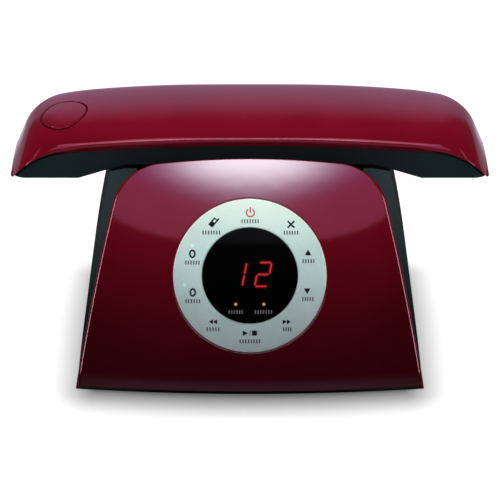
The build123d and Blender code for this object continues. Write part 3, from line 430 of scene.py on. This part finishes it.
# Painted highlight: a near-white band round the ring's outer edge, from 36.1 to 36.6 mm out from its axis.
rim, painted_rim_highlight = spoke.vector("LENGTH", out="Value").between(0.0361, 0.0366), (0.95, 0.93, 0.9)
rim.blend(paint, painted_rim_highlight).feed(shader, "Base Color")
(0.34 + 0.14 * fleck).feed(shader, "Roughness")
fleck.emboss(shader, 0.05)
ring_profile = [(23.1, 7.0), (23.1, 8.9), (23.17, 9.16), (23.34, 9.33), (23.6, RING_FACE),
                (23.75, RING_FACE), (30.0, RING_FACE), (36.23, RING_FACE), (36.38, RING_FACE),
                (36.64, 9.33), (36.81, 9.16), (36.88, 8.9), (36.88, 7.0)]
ring = turned("touch_ring", ring_profile, silver_ring, True)
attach(ring, "base")
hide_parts("control_ring")

# Display window: a round smoked lens, almost black, set just under the ring's face.
# It lies on the touch board's inner rim, and the digits shine through it.
LENS_FACE = 8.9
smoked_lens = moulded("smoked_lens", (0.0008, 0.001, 0.0009), (0.0014, 0.0016, 0.0015),
                      rough=(0.015, 0.025), grain=200.0, relief=0.005,
                      Specular_IOR_Level=0.1, Specular_Tint=(0.3, 1.0, 0.68, 1.0))
window_profile = [(1.0, 7.0), (22.6, 7.0), (22.9, 7.2), (22.9, 8.7), (22.84, 8.84), (22.7, LENS_FACE),
                  (22.55, LENS_FACE), (12.0, LENS_FACE), (1.0, LENS_FACE)]
window = turned("smoked_window", window_profile, smoked_lens, False)
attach(window, "base")
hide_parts("display_window")


# Symbols on the ring: printed in dark ink, thin and flat, with a red switch sign at the top, two pale
# blue lamps at the left, and a row of plain marks under each symbol.
def plates(name, shapes, floor, thick, material):
    """Thin flat plates on the leaning face: each outline is a floor, a top and a wall between them."""
    points, faces, start = [], [], 0
    for shape in shapes:
        across, up = np.asarray(shape).T
        points += [on_face(across, up, floor), on_face(across, up, floor + thick)]
        ring = np.arange(start, start + len(across))
        lid = ring + len(across)
        faces += bands(np.stack([ring, lid])).tolist() + [ring[::-1].tolist(), lid.tolist()]
        start += 2 * len(across)
    made = piece(name, np.vstack(points), faces, material, 30.0)
    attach(made, "base")
    return made


def oval(across, up, wide, high):
    """An ellipse of half width and half height about a middle."""
    turn = np.linspace(0, 2 * np.pi, 40, endpoint=False)
    return np.stack([across + wide * np.cos(turn), up + high * np.sin(turn)], -1)


def hoop(across, up, wide, high, thick, start=0.0, end=359.9):
    """A band along an ellipse between two angles, its outer line and then its inner line back."""
    turn = np.radians(np.linspace(start, end, 48))
    outer = np.stack([across + wide * np.cos(turn), up + high * np.sin(turn)], -1)
    inner = np.stack([across + (wide - thick) * np.cos(turn), up + (high - thick) * np.sin(turn)], -1)
    return np.vstack([outer, inner[::-1]])


def stroke(start, end, width, point=0.0):
    """A straight bar between two points: square ends, or ends drawn to a point over that length."""
    start, end = np.array(start), np.array(end)
    along = (end - start) / np.linalg.norm(end - start)
    side = width / 2 * np.array([-along[1], along[0]])
    tip = point * along
    return np.array([start, start + tip - side, end - tip - side, end, end - tip + side, start + tip + side])


def mark_row(across, up, width, high):
    """A row of small upright marks, evenly spaced over a width."""
    spacing, thick = 1.3, 0.6
    count = max(3, int(round(width / spacing)))
    middles = across + (np.arange(count) - (count - 1) / 2) * width / count
    return [stroke((at, up - high / 2), (at, up + high / 2), thick) for at in middles]


def glowing(name, grain, dull, lit, **fixed):
    """A light whose colour and glow each drift between two close shades."""
    material, shader, place = start_finish(name, **fixed)
    drift = place.noise(grain, 2.0)
    drift.blend(*dull).feed(shader, "Base Color")
    drift.blend(*lit).feed(shader, "Emission Color")
    return material


dark_ink = moulded("dark_ink", (0.001, 0.009, 0.01), (0.002, 0.014, 0.016),
                   rough=(0.35, 0.5), grain=800.0, relief=0.05, Specular_IOR_Level=0.1)
grey_ink = moulded("grey_ink", (0.03, 0.04, 0.039), (0.05, 0.062, 0.06),
                   rough=(0.4, 0.55), grain=800.0, relief=0.05)
red_ink = moulded("red_ink", (0.36, 0.02, 0.03), (0.46, 0.03, 0.04),
                  rough=(0.35, 0.5), grain=800.0, relief=0.05)
pale_blue = [(0.42, 0.86, 0.78), (0.55, 0.95, 0.88)]
blue_glow = glowing("blue_glow", 900.0, pale_blue, pale_blue, Roughness=0.3, Emission_Strength=0.35)
INK = (RING_FACE, 0.05)
phone, slant, aside = np.array([-19.0, 76.1]), np.array([0.64, 0.77]), np.array([0.67, -0.56])
phone_sign = [stroke(phone, phone + 2.5 * slant, 2.5),
              stroke(phone + 2.4 * slant - aside, phone + 4.5 * slant - aside, 0.75),
              stroke(phone + 2.4 * slant + aside, phone + 5.4 * slant + aside, 0.75),
              stroke(phone + 3.9 * slant, phone + 4.5 * slant, 2.5)]
cross_sign = [stroke((18.1, 75.3), (21.3, 78.5), 0.85), stroke((18.1, 78.5), (21.3, 75.3), 0.85)]
oval_signs = [hoop(-27.6, 62.8, 1.6, 2.1, 0.85), hoop(-27.4, 44.3, 1.6, 2.1, 0.85)]
up_and_down = [[(26.3, 62.1), (29.5, 62.1), (27.9, 64.8)], [(25.9, 46.2), (27.45, 43.5), (29.0, 46.2)]]
back_twice = [[(-17.7, 30.2), (-15.7, 29.0), (-15.7, 31.4)], [(-19.7, 30.2), (-17.7, 29.0), (-17.7, 31.4)]]
on_twice = [[(17.7, 30.2), (15.7, 31.4), (15.7, 29.0)], [(19.7, 30.2), (17.7, 31.4), (17.7, 29.0)]]
play_and_stop = [[(-3.4, 23.4), (-1.0, 24.7), (-3.4, 26.0)], stroke((-0.3, 23.5), (0.3, 26.0), 0.22),
                 [(1.0, 23.6), (3.4, 23.6), (3.4, 26.0), (1.0, 26.0)]]
signs = phone_sign + cross_sign + oval_signs + up_and_down + back_twice + on_twice + play_and_stop
symbols = plates("ring_symbols", signs, *INK, dark_ink)
switch_shapes = [hoop(0.2, 82.5, 2.2, 2.2, 0.62, 125, 415), stroke((0.2, 82.4), (0.2, 85.3), 0.62)]
switch = plates("switch_sign", switch_shapes, *INK, red_ink)
mark_rows = [(0.1, 78.4, 9.0), (-18.5, 73.0, 9.2), (19.7, 72.9, 7.6), (-27.6, 58.6, 7.6), (-27.4, 40.1, 7.8),
             (28.1, 59.3, 6.4), (27.8, 41.1, 6.0), (-17.7, 26.6, 7.0), (0.0, 20.8, 10.6), (17.9, 26.6, 4.6)]
marks = plates("ring_marks", [bar for row in mark_rows for bar in mark_row(*row, 1.9)], *INK, grey_ink)
lamps = plates("ring_lamps", [oval(-27.6, 66.7, 0.6, 0.6), oval(-31.4, 48.1, 0.75, 0.75)], *INK, blue_glow)


# Lit digits and lamps: light from the display behind the lens, drawn on the lens as thin glowing strips.
# Two seven-bar numbers lean to the right, and two small red lamps glow under them.
def digit(foot, bars, width, point):
    """The lit bars of a seven-bar number 6 mm wide and 11.4 mm high, leaning 0.19 to the right."""
    wide, half, high, lean, gap = 6.0, 5.7, 11.4, 0.19, 0.22
    posts = {"top": [(0, high), (wide, high)], "middle": [(0, half), (wide, half)],
             "foot": [(0, 0), (wide, 0)], "low_left": [(0, 0), (0, half)],
             "low_right": [(wide, 0), (wide, half)], "high_left": [(0, half), (0, high)],
             "high_right": [(wide, half), (wide, high)]}
    shapes = []
    for bar in bars:
        start, end = np.array(posts[bar], float)
        trim = gap * (end - start) / np.linalg.norm(end - start)
        flat = stroke(start + trim, end - trim, width, point)
        shapes.append(np.array(foot) + flat @ [[1.0, 0.0], [lean, 1.0]])
    return shapes


def both_digits(width, point):
    """The bars of the two numbers, a one and a two."""
    return (digit((-9.7, 47.2), ["low_right", "high_right"], width, point)
            + digit((2.3, 47.2), ["top", "high_right", "middle", "low_left", "foot"], width, point))


LENS = (LENS_FACE, 0.04)
behind_lens = {"Roughness": 0.1, "Specular_IOR_Level": 0.05, "Emission_Strength": 1.0}
red_light = glowing("red_light", 500.0, [(0.1, 0.004, 0.006), (0.15, 0.006, 0.01)],
                    [(0.42, 0.014, 0.022), (0.58, 0.03, 0.04)], **behind_lens)
numbers = plates("lit_digits", both_digits(0.8, 0.4), *LENS, red_light)
red_haze = glowing("red_haze", 700.0, [(0.004, 0.001, 0.001), (0.006, 0.001, 0.001)],
                   [(0.028, 0.0005, 0.001), (0.042, 0.001, 0.0015)], **behind_lens)
halos = plates("digit_haze", both_digits(2.3, 0.6), LENS_FACE, 0.02, red_haze)

lamp_spots, lamp_radius = [(-6.8, 38.6), (6.7, 38.6)], 1.15
lamp_light, shader, place = start_finish("lamp_light", **behind_lens)
near = [place.vector("DISTANCE", tuple(on_face(*spot, sum(LENS)) * MM), "Value") for spot in lamp_spots]
outward = near[0].math("MINIMUM", *near).between(0.0001, 0.0009)
outward.blend((0.7, 0.36, 0.36), (0.05, 0.001, 0.002)).feed(shader, "Emission Color")
outward.blend((0.3, 0.2, 0.2), (0.02, 0.001, 0.002)).feed(shader, "Base Color")
dots = plates("lit_lamps", [oval(*spot, lamp_radius, lamp_radius) for spot in lamp_spots], *LENS, lamp_light)
lens_ink = moulded("lens_ink", (0.13, 0.135, 0.135), (0.2, 0.205, 0.205),
                   rough=(0.4, 0.55), grain=800.0, relief=0.05)
lens_rows = mark_row(-6.8, 34.9, 7.4, 1.8) + mark_row(6.5, 34.9, 9.0, 1.8)
lens_marks = plates("lens_marks", lens_rows, *LENS, lens_ink)

# Handset lower shell and door: black plastic with the same grain as the base. The shell holds the board,
# the battery and the sound parts, and its four screws pull the top shell down on it.
# Painted shade and light in the handset's black: darker along the middle, lighter towards both ends.
handset_black = black_plastic("handset_black", (0.013, 0.024, 0.025), 0.1)
dress(handset_black, "handset_lower_shell", "battery_door")
dress(steel, "handset_screws", "ear_speaker", "button_switch")
dress(board_green, "handset_board", "button_board")
dress(can_metal, "microphone")
dress(contact_gold, "charge_pads")
battery_wrap = moulded("battery_wrap", (0.035, 0.09, 0.25), (0.055, 0.13, 0.33),
                       rough=(0.2, 0.32), grain=300.0, relief=0.1)
dress(battery_wrap, "battery_pack")

# Screen: a grey liquid-crystal module on the handset's board, in the handset's inner face.
# A clear moulded window lies over it.
screen_grey = moulded("screen_grey", (0.3, 0.35, 0.29), (0.37, 0.42, 0.36),
                      rough=(0.5, 0.6), grain=900.0, relief=0.05)
dress(screen_grey, "screen_module")
clear_lens = moulded("clear_lens", (0.5, 0.54, 0.52), (0.6, 0.64, 0.62),
                     rough=(0.04, 0.08), grain=200.0, relief=0.005, Transmission_Weight=0.85)
dress(clear_lens, "screen_window")

# Keys: satin grey caps on a rubber mat, which stand out through holes in the handset's inner face.
# The talk key is green, the off key red, and plain white numbers are printed on the dial keys.
dress(rubber, "keypad_mat")
key_grey = moulded("key_grey", (0.24, 0.25, 0.25), (0.32, 0.33, 0.33),
                   rough=(0.4, 0.52), grain=900.0, relief=0.2)
numbered = {f"key_{number}": number for number in "123456789"}
numbered.update({"key_star": "*", "key_0": "0", "key_hash": "#"})
dress(key_grey, "rocker_key", "soft_key_left", "soft_key_right", *numbered)
key_green = moulded("key_green", (0.045, 0.25, 0.08), (0.07, 0.33, 0.12),
                    rough=(0.4, 0.52), grain=900.0, relief=0.2)
dress(key_green, "talk_key")
key_red = moulded("key_red", (0.34, 0.022, 0.022), (0.44, 0.035, 0.033),
                  rough=(0.4, 0.52), grain=900.0, relief=0.2)
dress(key_red, "off_key")
white_ink = moulded("white_ink", (0.66, 0.67, 0.67), (0.78, 0.79, 0.79),
                    rough=(0.4, 0.55), grain=800.0, relief=0.05)


def key_number(key, sign):
    """A printed number on the underside of a key, read with the ear end up: flat letters become a mesh,
    whose across runs to -Y, whose up runs to -X, and whose face looks down."""
    letters = bpy.data.curves.new(key + "_sign", "FONT")
    letters.body, letters.size, letters.extrude = sign, 5.4, 0.03
    letters.align_x, letters.align_y = "CENTER", "CENTER"
    flat = bpy.data.objects.new(key + "_flat", letters)
    bpy.context.scene.collection.objects.link(flat)
    bpy.context.view_layer.update()
    mesh = bpy.data.meshes.new_from_object(flat.evaluated_get(bpy.context.evaluated_depsgraph_get()))
    bpy.data.objects.remove(flat)
    points = np.empty(len(mesh.vertices) * 3)
    mesh.vertices.foreach_get("co", points)
    points = points.reshape(-1, 3)
    low, high = np.array(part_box(key))
    across, up = (points - (points.min(0) + points.max(0)) / 2)[:, :2].T
    placed = np.stack([(low[0] + high[0]) / 2 - MM * up, (low[1] + high[1]) / 2 - MM * across,
                       low[2] - MM * points[:, 2]], -1)
    mesh.vertices.foreach_set("co", placed.ravel())
    mesh.materials.clear()
    mesh.materials.append(white_ink)
    made = bpy.data.objects.new(key + "_number", mesh)
    bpy.context.scene.collection.objects.link(made)
    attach(made, key)


for key, sign in numbered.items():
    key_number(key, sign)

# Handset top shell: an arched hood of the fascia's red plastic that turns down over both ends.
# Its lower edge tucks in to the black shell, and a round recess near the left end holds the button.
AXIS_Y = 18.825
TOP, END = 121.195, 88.7
BUTTON = np.array([-90.2, -7.9])
TILT = np.radians(14.5)


def crown_line():
    """The hood's top line from its middle to its right tip: level, then a slow arc, a shoulder of 23.5 mm
    radius, and a straight end that leans out and stops 1.8 mm above the tip."""
    level, drop, shoulder, stop = 20.0, 5.9, 23.5, 1.8
    corner, tip = np.array([105.7, TOP - drop]), np.array([117.0, END])
    radius = ((corner[0] - level) ** 2 + drop**2) / (2 * drop)
    center = np.array([level, TOP - radius])
    fall = (tip - corner) / np.linalg.norm(tip - corner)
    inward = np.array([fall[1], -fall[0]])
    start = corner + shoulder * inward - center
    along = -(start @ fall) - np.sqrt((start @ fall) ** 2 - start @ start + (radius - shoulder) ** 2)
    middle = center + start + along * fall
    high, low = angle_of(middle - center), angle_of(-inward)
    foot = middle - shoulder * inward
    end = tip + stop / fall[1] * fall
    share = np.linspace(0, 1, 30)[1:, None]
    return np.vstack([np.stack([np.linspace(0, level, 16), np.full(16, TOP)], -1),
                      arc(center, radius, np.pi / 2, high, 60)[1:], arc(middle, shoulder, high, low, 60)[1:],
                      (1 - share) * foot + share * end])


crown = crown_line()


def hood_top(along):
    return np.interp(np.abs(along), crown[:, 0], crown[:, 1])


def hood_foot(along):
    """Where the hood meets the black shell: a slow arch to 92 mm out, then a tighter arc down to the end."""
    arch_drop, arch, knee, bend, stop = 14.2, 986.3, 92.0, 30.66, 115.3
    far = np.abs(along)
    slow = TOP - arch_drop - arch + np.sqrt(arch**2 - np.minimum(far, knee) ** 2)
    dip = np.arcsin(knee / arch)
    middle = knee - bend * np.sin(dip)
    tight = np.sqrt(bend**2 - (np.clip(far, knee, stop) - middle) ** 2) - bend * np.cos(dip)
    return np.maximum(slow + tight, END)


def hood_half(along):
    """Half the hood's width: 26 mm, drawn in at the ends on a circle of 10 mm radius."""
    half, straight, corner = 26.0, 107.0, 10.0
    past = np.clip(np.abs(along) - straight, 0.0, corner - 0.01)
    return half - corner + np.sqrt(corner**2 - past**2)


def from_to(first, last, along, start, run):
    """A value that goes by a smooth step from first to last, over a run that starts so far out."""
    share = np.clip((np.abs(along) - start) / run, 0, 1)
    return first + (last - first) * share * share * (3 - 2 * share)


def lip_share(along):
    """The lip's part of the height from foot to top: 0.21 along the middle, and 0.05 at the ends."""
    return from_to(0.21, 0.05, along, 75.0, 30.0)


def dome(along, share):
    """The hood's crown across it, 1 at the middle and 0 at the creases: one less a little of the share's
    square and the rest of a power of it, which is higher at the back, and goes down at the round ends."""
    soft = 0.15
    front_power = from_to(5.0, 1.85, along, 90.0, 26.0)
    rear_power = from_to(10.0, 5.2, along, 78.0, 32.0)
    power = np.where(share < 0, front_power, rear_power)
    return 1 - soft * share**2 - (1 - soft) * np.abs(share) ** power


def hood(along, aside):
    """The hood's height: its dome stands on a low lip."""
    foot, low = hood_foot(along), lip_share(along)
    share = np.clip(aside / hood_half(along), -1, 1)
    return foot + (hood_top(along) - foot) * (low + (1 - low) * dome(along, share))


def button_ring(radius, turn, depth):
    """A circle about the button's middle on the hood, sunk by a depth along the button's leaning axis."""
    along = BUTTON[0] + radius * np.cos(turn) * np.cos(TILT)
    aside = BUTTON[1] + radius * np.sin(turn)
    flat = np.stack([along, aside, hood(along, aside)], -1)
    return flat - depth * np.array([-np.sin(TILT), 0.0, np.cos(TILT)]) + (0.0, AXIS_Y, 0.0)


def hood_grid():
    """Rings across the hood's length: outside from front to back, then inside back again. A curve drawn to
    a corner turns each lip into the crown. Also how far the outside points lie from the axis."""
    tuck_in, tuck_high, crease, side_wall, top_wall = 1.3, 10.0, 0.98, 3.6, 2.4
    along = np.concatenate([-crown[:0:-1, 0], crown[:, 0]])[:, None]
    foot, half = hood_foot(along), hood_half(along)
    high = hood_top(along) - foot
    tuck, lip = tuck_in * np.clip(high / tuck_high, 0, 1), lip_share(along) * high
    rise, turn = np.linspace(0, 0.8, 8)[None, :], np.linspace(0, 1, 9)[None, 1:-1]
    over = crease * np.sin(np.linspace(-np.pi / 2, np.pi / 2, 120))[None, :]
    crest = lip + (high - lip) * dome(along, over)
    low_out, low_up = half - tuck * (1 - rise), lip * rise

    def to_crown(first, corner, last):
        return (1 - turn) ** 2 * first + 2 * turn * (1 - turn) * corner + turn**2 * last

    edge_out = np.hstack([low_out, to_crown(low_out[:, -1:], half, crease * half)])
    front_up, rear_up = [np.hstack([low_up, to_crown(low_up[:, -1:], lip, near)])
                         for near in (crest[:, :1], crest[:, -1:])]
    aside = np.hstack([-edge_out, half * over, edge_out[:, ::-1]])
    up = np.hstack([front_up, crest, rear_up[:, ::-1]])
    back = np.linspace(1, -1, 60)[None, :]
    inside, under = (half - side_wall) * back, np.clip(high - top_wall, 0, None) * (1 - back**4)
    across, height = np.hstack([aside, inside]), foot + np.hstack([up, under])
    return np.stack(np.broadcast_arrays(along, AXIS_Y + across, height), -1), aside


def top_shell():
    """The hood's points and faces. A window of its grid gives way to rings that close from that window's
    border on the button's round recess."""
    window_along, window_aside = 13.6, 14.0
    grid, aside = hood_grid()
    rows, columns = grid.shape[:2]
    rings = np.arange(rows * columns).reshape(rows, columns)
    quads = bands(rings).reshape(rows - 1, columns, 4)
    row = np.flatnonzero(np.abs(grid[:, 0, 0] - BUTTON[0]) < window_along)
    column = np.flatnonzero(np.abs(aside[rows // 2] - BUTTON[1]) < window_aside)
    keep = np.ones(quads.shape[:2], bool)
    keep[row[0]:row[-1], column[0]:column[-1]] = False
    border_ring = np.concatenate([rings[row[0], column[:-1]], rings[row[:-1], column[-1]],
                                  rings[row[-1], column[:0:-1]], rings[row[:0:-1], column[0]]])
    border = grid.reshape(-1, 3)[border_ring]
    facing = np.arctan2(border[:, 1] - AXIS_Y - BUTTON[1], (border[:, 0] - BUTTON[0]) / np.cos(TILT))
    steps = np.linspace(0, 1, 9)[1:, None, None]
    lofted = (1 - steps) * border + steps * button_ring(12.25, facing, 0.0)
    lofted[..., 2] = hood(lofted[..., 0], lofted[..., 1] - AXIS_Y)
    recess = [(12.11, 0.04), (12.03, 0.14), (12.0, 0.3), (12.0, 2.2)]
    wall = np.stack([button_ring(radius, facing, depth) for radius, depth in recess])
    patch = np.concatenate([lofted, wall])
    numbers = rows * columns + np.arange(patch.shape[0] * patch.shape[1]).reshape(patch.shape[:2])
    middles = [patch[-1].mean(0), grid[0].mean(0), grid[-1].mean(0)]
    points = np.vstack([grid.reshape(-1, 3), patch.reshape(-1, 3), *middles])
    last = len(points) - len(middles)
    faces = quads[keep].tolist() + bands(np.vstack([border_ring, numbers])).tolist()
    faces += fan(numbers[-1], last) + fan(rings[0][::-1], last + 1) + fan(rings[-1], last + 2)
    return points, faces


shell = piece("handset_hood", *top_shell(), red_gloss)
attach(shell, "handset")
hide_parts("handset_top_shell")

# End button: a round cap of the same red plastic, flush with the hood round it and rounded at its edge.
# It slides on its leaning axis in the recess and presses a switch under it.
turn = np.linspace(0, 2 * np.pi, 160, endpoint=False)
cap_profile = [(1.0, 0), (3.0, 0), (5.0, 0), (7.0, 0), (9.0, 0), (10.3, 0), (10.8, 0.01), (10.98, 0.06),
               (11.06, 0.15), (11.1, 0.3), (11.1, 0.9), (10.6, 1.0), (1.0, 1.0)]
cap_rows = np.stack([button_ring(radius, turn, depth) for radius, depth in cap_profile])
cap = skin("end_button_cap", cap_rows, red_gloss)
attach(cap, "end_button")
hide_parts("end_button")


# Floor: one plain white sheet under and behind the phone, which ends in front of the view. It glows white,
# with a painted contact shadow darkening its glow close round the base. In gloss it shows a pale sheen, with
# painted shade close round the base, and it can't be seen from below.
def flat_sheet(name, corners, material):
    """A flat four-cornered sheet of the stage, in metres."""
    mesh = bpy.data.meshes.new(name)
    mesh.from_pydata(corners, [], [(0, 1, 2, 3)])
    mesh.materials.append(material)
    made = bpy.data.objects.new(name, mesh)
    bpy.context.scene.collection.objects.link(made)
    return made


BLACK, WHITE = (0.0, 0.0, 0.0), (1.0, 1.0, 1.0)
half_wide, front_curve, front_y, back_y = 75.0, 1016.0, -62.98, 60.0
white_floor, shader, place = start_finish("white_floor", Roughness=1.0, Specular_IOR_Level=0.0,
                                          Base_Color=(0.6, 0.6, 0.6, 1.0), Emission_Strength=1.0)
spot_x, spot_y = place.part(0) * 1000.0, place.part(1) * 1000.0
beside = place.math("MAXIMUM", abs(spot_x) - half_wide)
before = place.math("MAXIMUM", spot_x * spot_x / front_curve + front_y - spot_y)
beyond = place.math("MAXIMUM", spot_y - back_y)
clear = (beside * beside + before * before + beyond * beyond) ** 0.5
seen, through, mirrored = [place.node("LightPath", {}, {}, ray)
                           for ray in ("Is Camera Ray", "Is Transmission Ray", "Is Glossy Ray")]
# Painted contact shadow: the white glow that the camera sees is dimmed close round the base's footprint, and
# is full 28 mm away from it.
plain = (place.math("MAXIMUM", seen, through) * clear.between(-8.5, 28.0)).blend(BLACK, WHITE)
middle = 1.0 - abs(spot_x).between(110.0, 240.0)
sheen = (middle * spot_y.between(165.0, 225.0)).blend((0.16, 0.11, 0.17), (0.72, 0.58, 0.75))
# Painted shade in gloss: the sheen is black close round the base and full from 170 mm away.
sheen = clear.between(20.0, 170.0).blend(BLACK, sheen)
mirrored.blend(plain, sheen).feed(shader, "Emission Color")
(1.0 - place.node("NewGeometry", {}, {}, "Backfacing")).feed(shader, "Alpha")
floor = flat_sheet("floor", [(-4, -0.19, 0), (4, -0.19, 0), (4, 4, 0), (-4, 4, 0)], white_floor)


# Lights: a wide soft lamp overhead, a round spot from the front that fades out over the fascia's foot, one
# lamp behind, two at the sides and two for the handset's ends. The spot and the lamp behind leave the floor
# out, and a tall soft panel over the camera shows only in gloss.
def area_lamp(name, wide, high, power, spot, turn=(0.0, 0.0, 0.0), receivers=None):
    """A soft four-cornered lamp that gloss doesn't show. It lights all, or the receivers alone."""
    light = bpy.data.lights.new(name, "AREA")
    light.shape, light.size, light.size_y, light.energy = "RECTANGLE", wide, high, power
    lamp = bpy.data.objects.new(name, light)
    lamp.location, lamp.rotation_euler, lamp.visible_glossy = spot, turn, False
    lamp.light_linking.receiver_collection = receivers
    bpy.context.scene.collection.objects.link(lamp)


area_lamp("overhead", 1.8, 1.6, 6.5, (0.0, 0.3, 2.0))

unlit = bpy.data.collections.new("unlit_by_spot")
unlit.objects.link(floor)
unlit.collection_objects[0].light_linking.link_state = "EXCLUDE"
cone = bpy.data.lights.new("front_spot", "SPOT")
cone.energy, cone.shadow_soft_size, cone.spot_blend = 89.0, 0.02, 0.62
spot_from, spot_foot, spot_radius = np.array([0.0, -0.75, 1.3]), np.array([0.0, -0.0605, 0.006]), 0.25
beam = (spot_foot - spot_from) / np.linalg.norm(spot_foot - spot_from)
spot_at = spot_foot + spot_radius * np.array([0.0, -beam[2], beam[1]])
cone.spot_size = 2 * np.arctan2(spot_radius, np.linalg.norm(spot_at - spot_from))
front_spot = bpy.data.objects.new("front_spot", cone)
front_spot.location = spot_from
front_spot.rotation_euler = (np.arctan2(spot_at[1] - spot_from[1], spot_from[2] - spot_at[2]), 0.0, 0.0)
front_spot.visible_glossy = False
front_spot.light_linking.receiver_collection = unlit
bpy.context.scene.collection.objects.link(front_spot)
area_lamp("back_lamp", 0.8, 0.4, 6.0, (0.0, 1.2, 0.2), (-np.pi / 2, 0.0, 0.0), unlit)

ends = bpy.data.collections.new("lit_by_end_lamps")
for part in (shell, cap, nodes["handset_lower_shell"]):
    ends.objects.link(part)
for side in (-1, 1):
    area_lamp("side_lamp", 0.3, 0.5, 0.9, (1.0 * side, 0.02, 0.2), (0.0, np.pi / 2 * side, 0.0))
    area_lamp("end_lamp", 0.3, 0.3, 3.0, (0.95 * side, -0.15, 0.2), (np.pi / 2, 0.0, 1.4 * side), ends)

aim = np.array([0.05, -30.41, 63.3]) * MM
toward = np.array([0.0, -np.cos(LEAN), np.sin(LEAN)])
upward = np.array([0.0, np.sin(LEAN), np.cos(LEAN)])
eye = aim + 1.1 * toward
panel_glow = bpy.data.materials.new("panel_glow")
panel_glow.use_nodes = True
tree = panel_glow.node_tree
tree.nodes.clear()
place = Socket(tree, tree.nodes.new("ShaderNodeTexCoord").outputs["Object"])
aside = abs(place.part(0) * 1000.0)
raised = (place.vector("DOT_PRODUCT", tuple(upward), "Value") - float(aim @ upward)) * 1000.0
lower_edge = 21.0 * (aside / 360.0) ** 2.8
sheet = (raised - lower_edge).between(3.5, 8.5) * (1.0 - raised.between(100.0, 130.0))
narrow = 1.0 + 0.42 * (aside / 139.0) ** 2.0
heat = (aside / 203.0) ** 3.0 + ((raised - 86.4) / 24.4) ** 2.0 * narrow
spot = place.math("EXPONENT", 0.0 - heat)
haze = place.math("EXPONENT", heat / -2.2)
band = raised.between(100.0, 115.0) * (1.0 - raised.between(150.0, 175.0))
band = band * (1.0 - aside.between(330.0, 480.0))
glow = sheet.blend(BLACK, raised.between(10.0, 80.0).blend((1.8, 0.5, 0.85), (1.5, 0.47, 1.15)))
for share, color in ((spot * 20.0, (0.93, 0.98, 1.0)), (band, (4.5, 1.4, 2.2)), (haze, (0.4, 0.5, 2.3))):
    glow = glow.vector("ADD", place.node("VectorMath", {"operation": "SCALE"}, {0: color, "Scale": share}))
light = place.node("Emission", {}, {"Color": glow, "Strength": 1.0})
light.feed(tree.nodes.new("ShaderNodeOutputMaterial"), "Surface")
panel_half, panel_high = np.array([0.7, 0.0, 0.0]), 0.45 * upward
card = [eye - panel_half, eye + panel_half, eye + panel_half + panel_high, eye - panel_half + panel_high]
panel = flat_sheet("soft_panel", [tuple(corner) for corner in card], panel_glow)
panel.visible_camera = panel.visible_diffuse = panel.visible_shadow = panel.visible_transmission = False

# World: white where the camera looks past the floor, an even fill for the plain light, and in gloss a pale
# studio behind and beside the phone that darkens to the front, with a bright strip at each side.
world = bpy.data.worlds.new("studio")
bpy.context.scene.world = world
world.use_nodes = True
tree = world.node_tree
way = Socket(tree, tree.nodes.new("ShaderNodeTexCoord").outputs["Generated"])
seen, through, mirrored = [way.node("LightPath", {}, {}, ray)
                           for ray in ("Is Camera Ray", "Is Transmission Ray", "Is Glossy Ray")]
across, depth, height = abs(way.part(0)), way.part(1), way.part(2)
pitch = way.math("ARCTAN2", height, depth) * (180.0 / np.pi)
room = pitch.between(14.0, 36.0).blend((0.5, 0.5, 0.78), (0.55, 0.28, 0.52))
room = pitch.between(36.0, 100.0).blend(room, (0.02, 0.012, 0.018))
low_front = (1.0 - depth.between(-0.6, -0.2)) * (1.0 - height.between(0.0, 0.4))
room = low_front.blend(room, (0.28, 0.22, 0.34))
room = (0.92 * across.between(0.15, 0.62)).blend(room, BLACK)
facing = way.vector("DOT_PRODUCT", tuple(toward), "Value")
lifted = way.vector("DOT_PRODUCT", tuple(upward), "Value")
strip = facing.between(0.42, 0.5) * (1.0 - facing.between(0.6, 0.68)) * across.between(0.35, 0.5)
strip = strip * lifted.between(-0.1, 0.05) * (1.0 - lifted.between(0.19, 0.3))
room = strip.blend(room, (20.0, 9.5, 12.5))
low_side = across.between(0.2, 0.35) * (1.0 - height.between(-0.3, -0.1))
low_side = low_side * (1.0 - depth.between(-0.6, -0.3))
room = low_side.blend(room, (3.0, 1.6, 1.9))
plain = seen.math("MAXIMUM", seen, through).blend((0.09, 0.09, 0.09), WHITE)
mirrored.blend(plain, room).feed(tree.nodes["Background"], "Color")

# Camera: a long lens that looks square on to the leaning face, as in the photograph.
# Its distance and width put the phone at the photograph's place and size.
lens = bpy.data.cameras.new("camera")
lens.lens, lens.sensor_width, lens.clip_end = 165.1, 36.0, 20.0
camera = bpy.data.objects.new("camera", lens)
camera.location = eye
camera.rotation_euler = (np.pi / 2 - LEAN, 0.0, 0.0)
bpy.context.scene.collection.objects.link(camera)
bpy.context.scene.camera = camera
bpy.context.scene.view_settings.view_transform = "Standard"
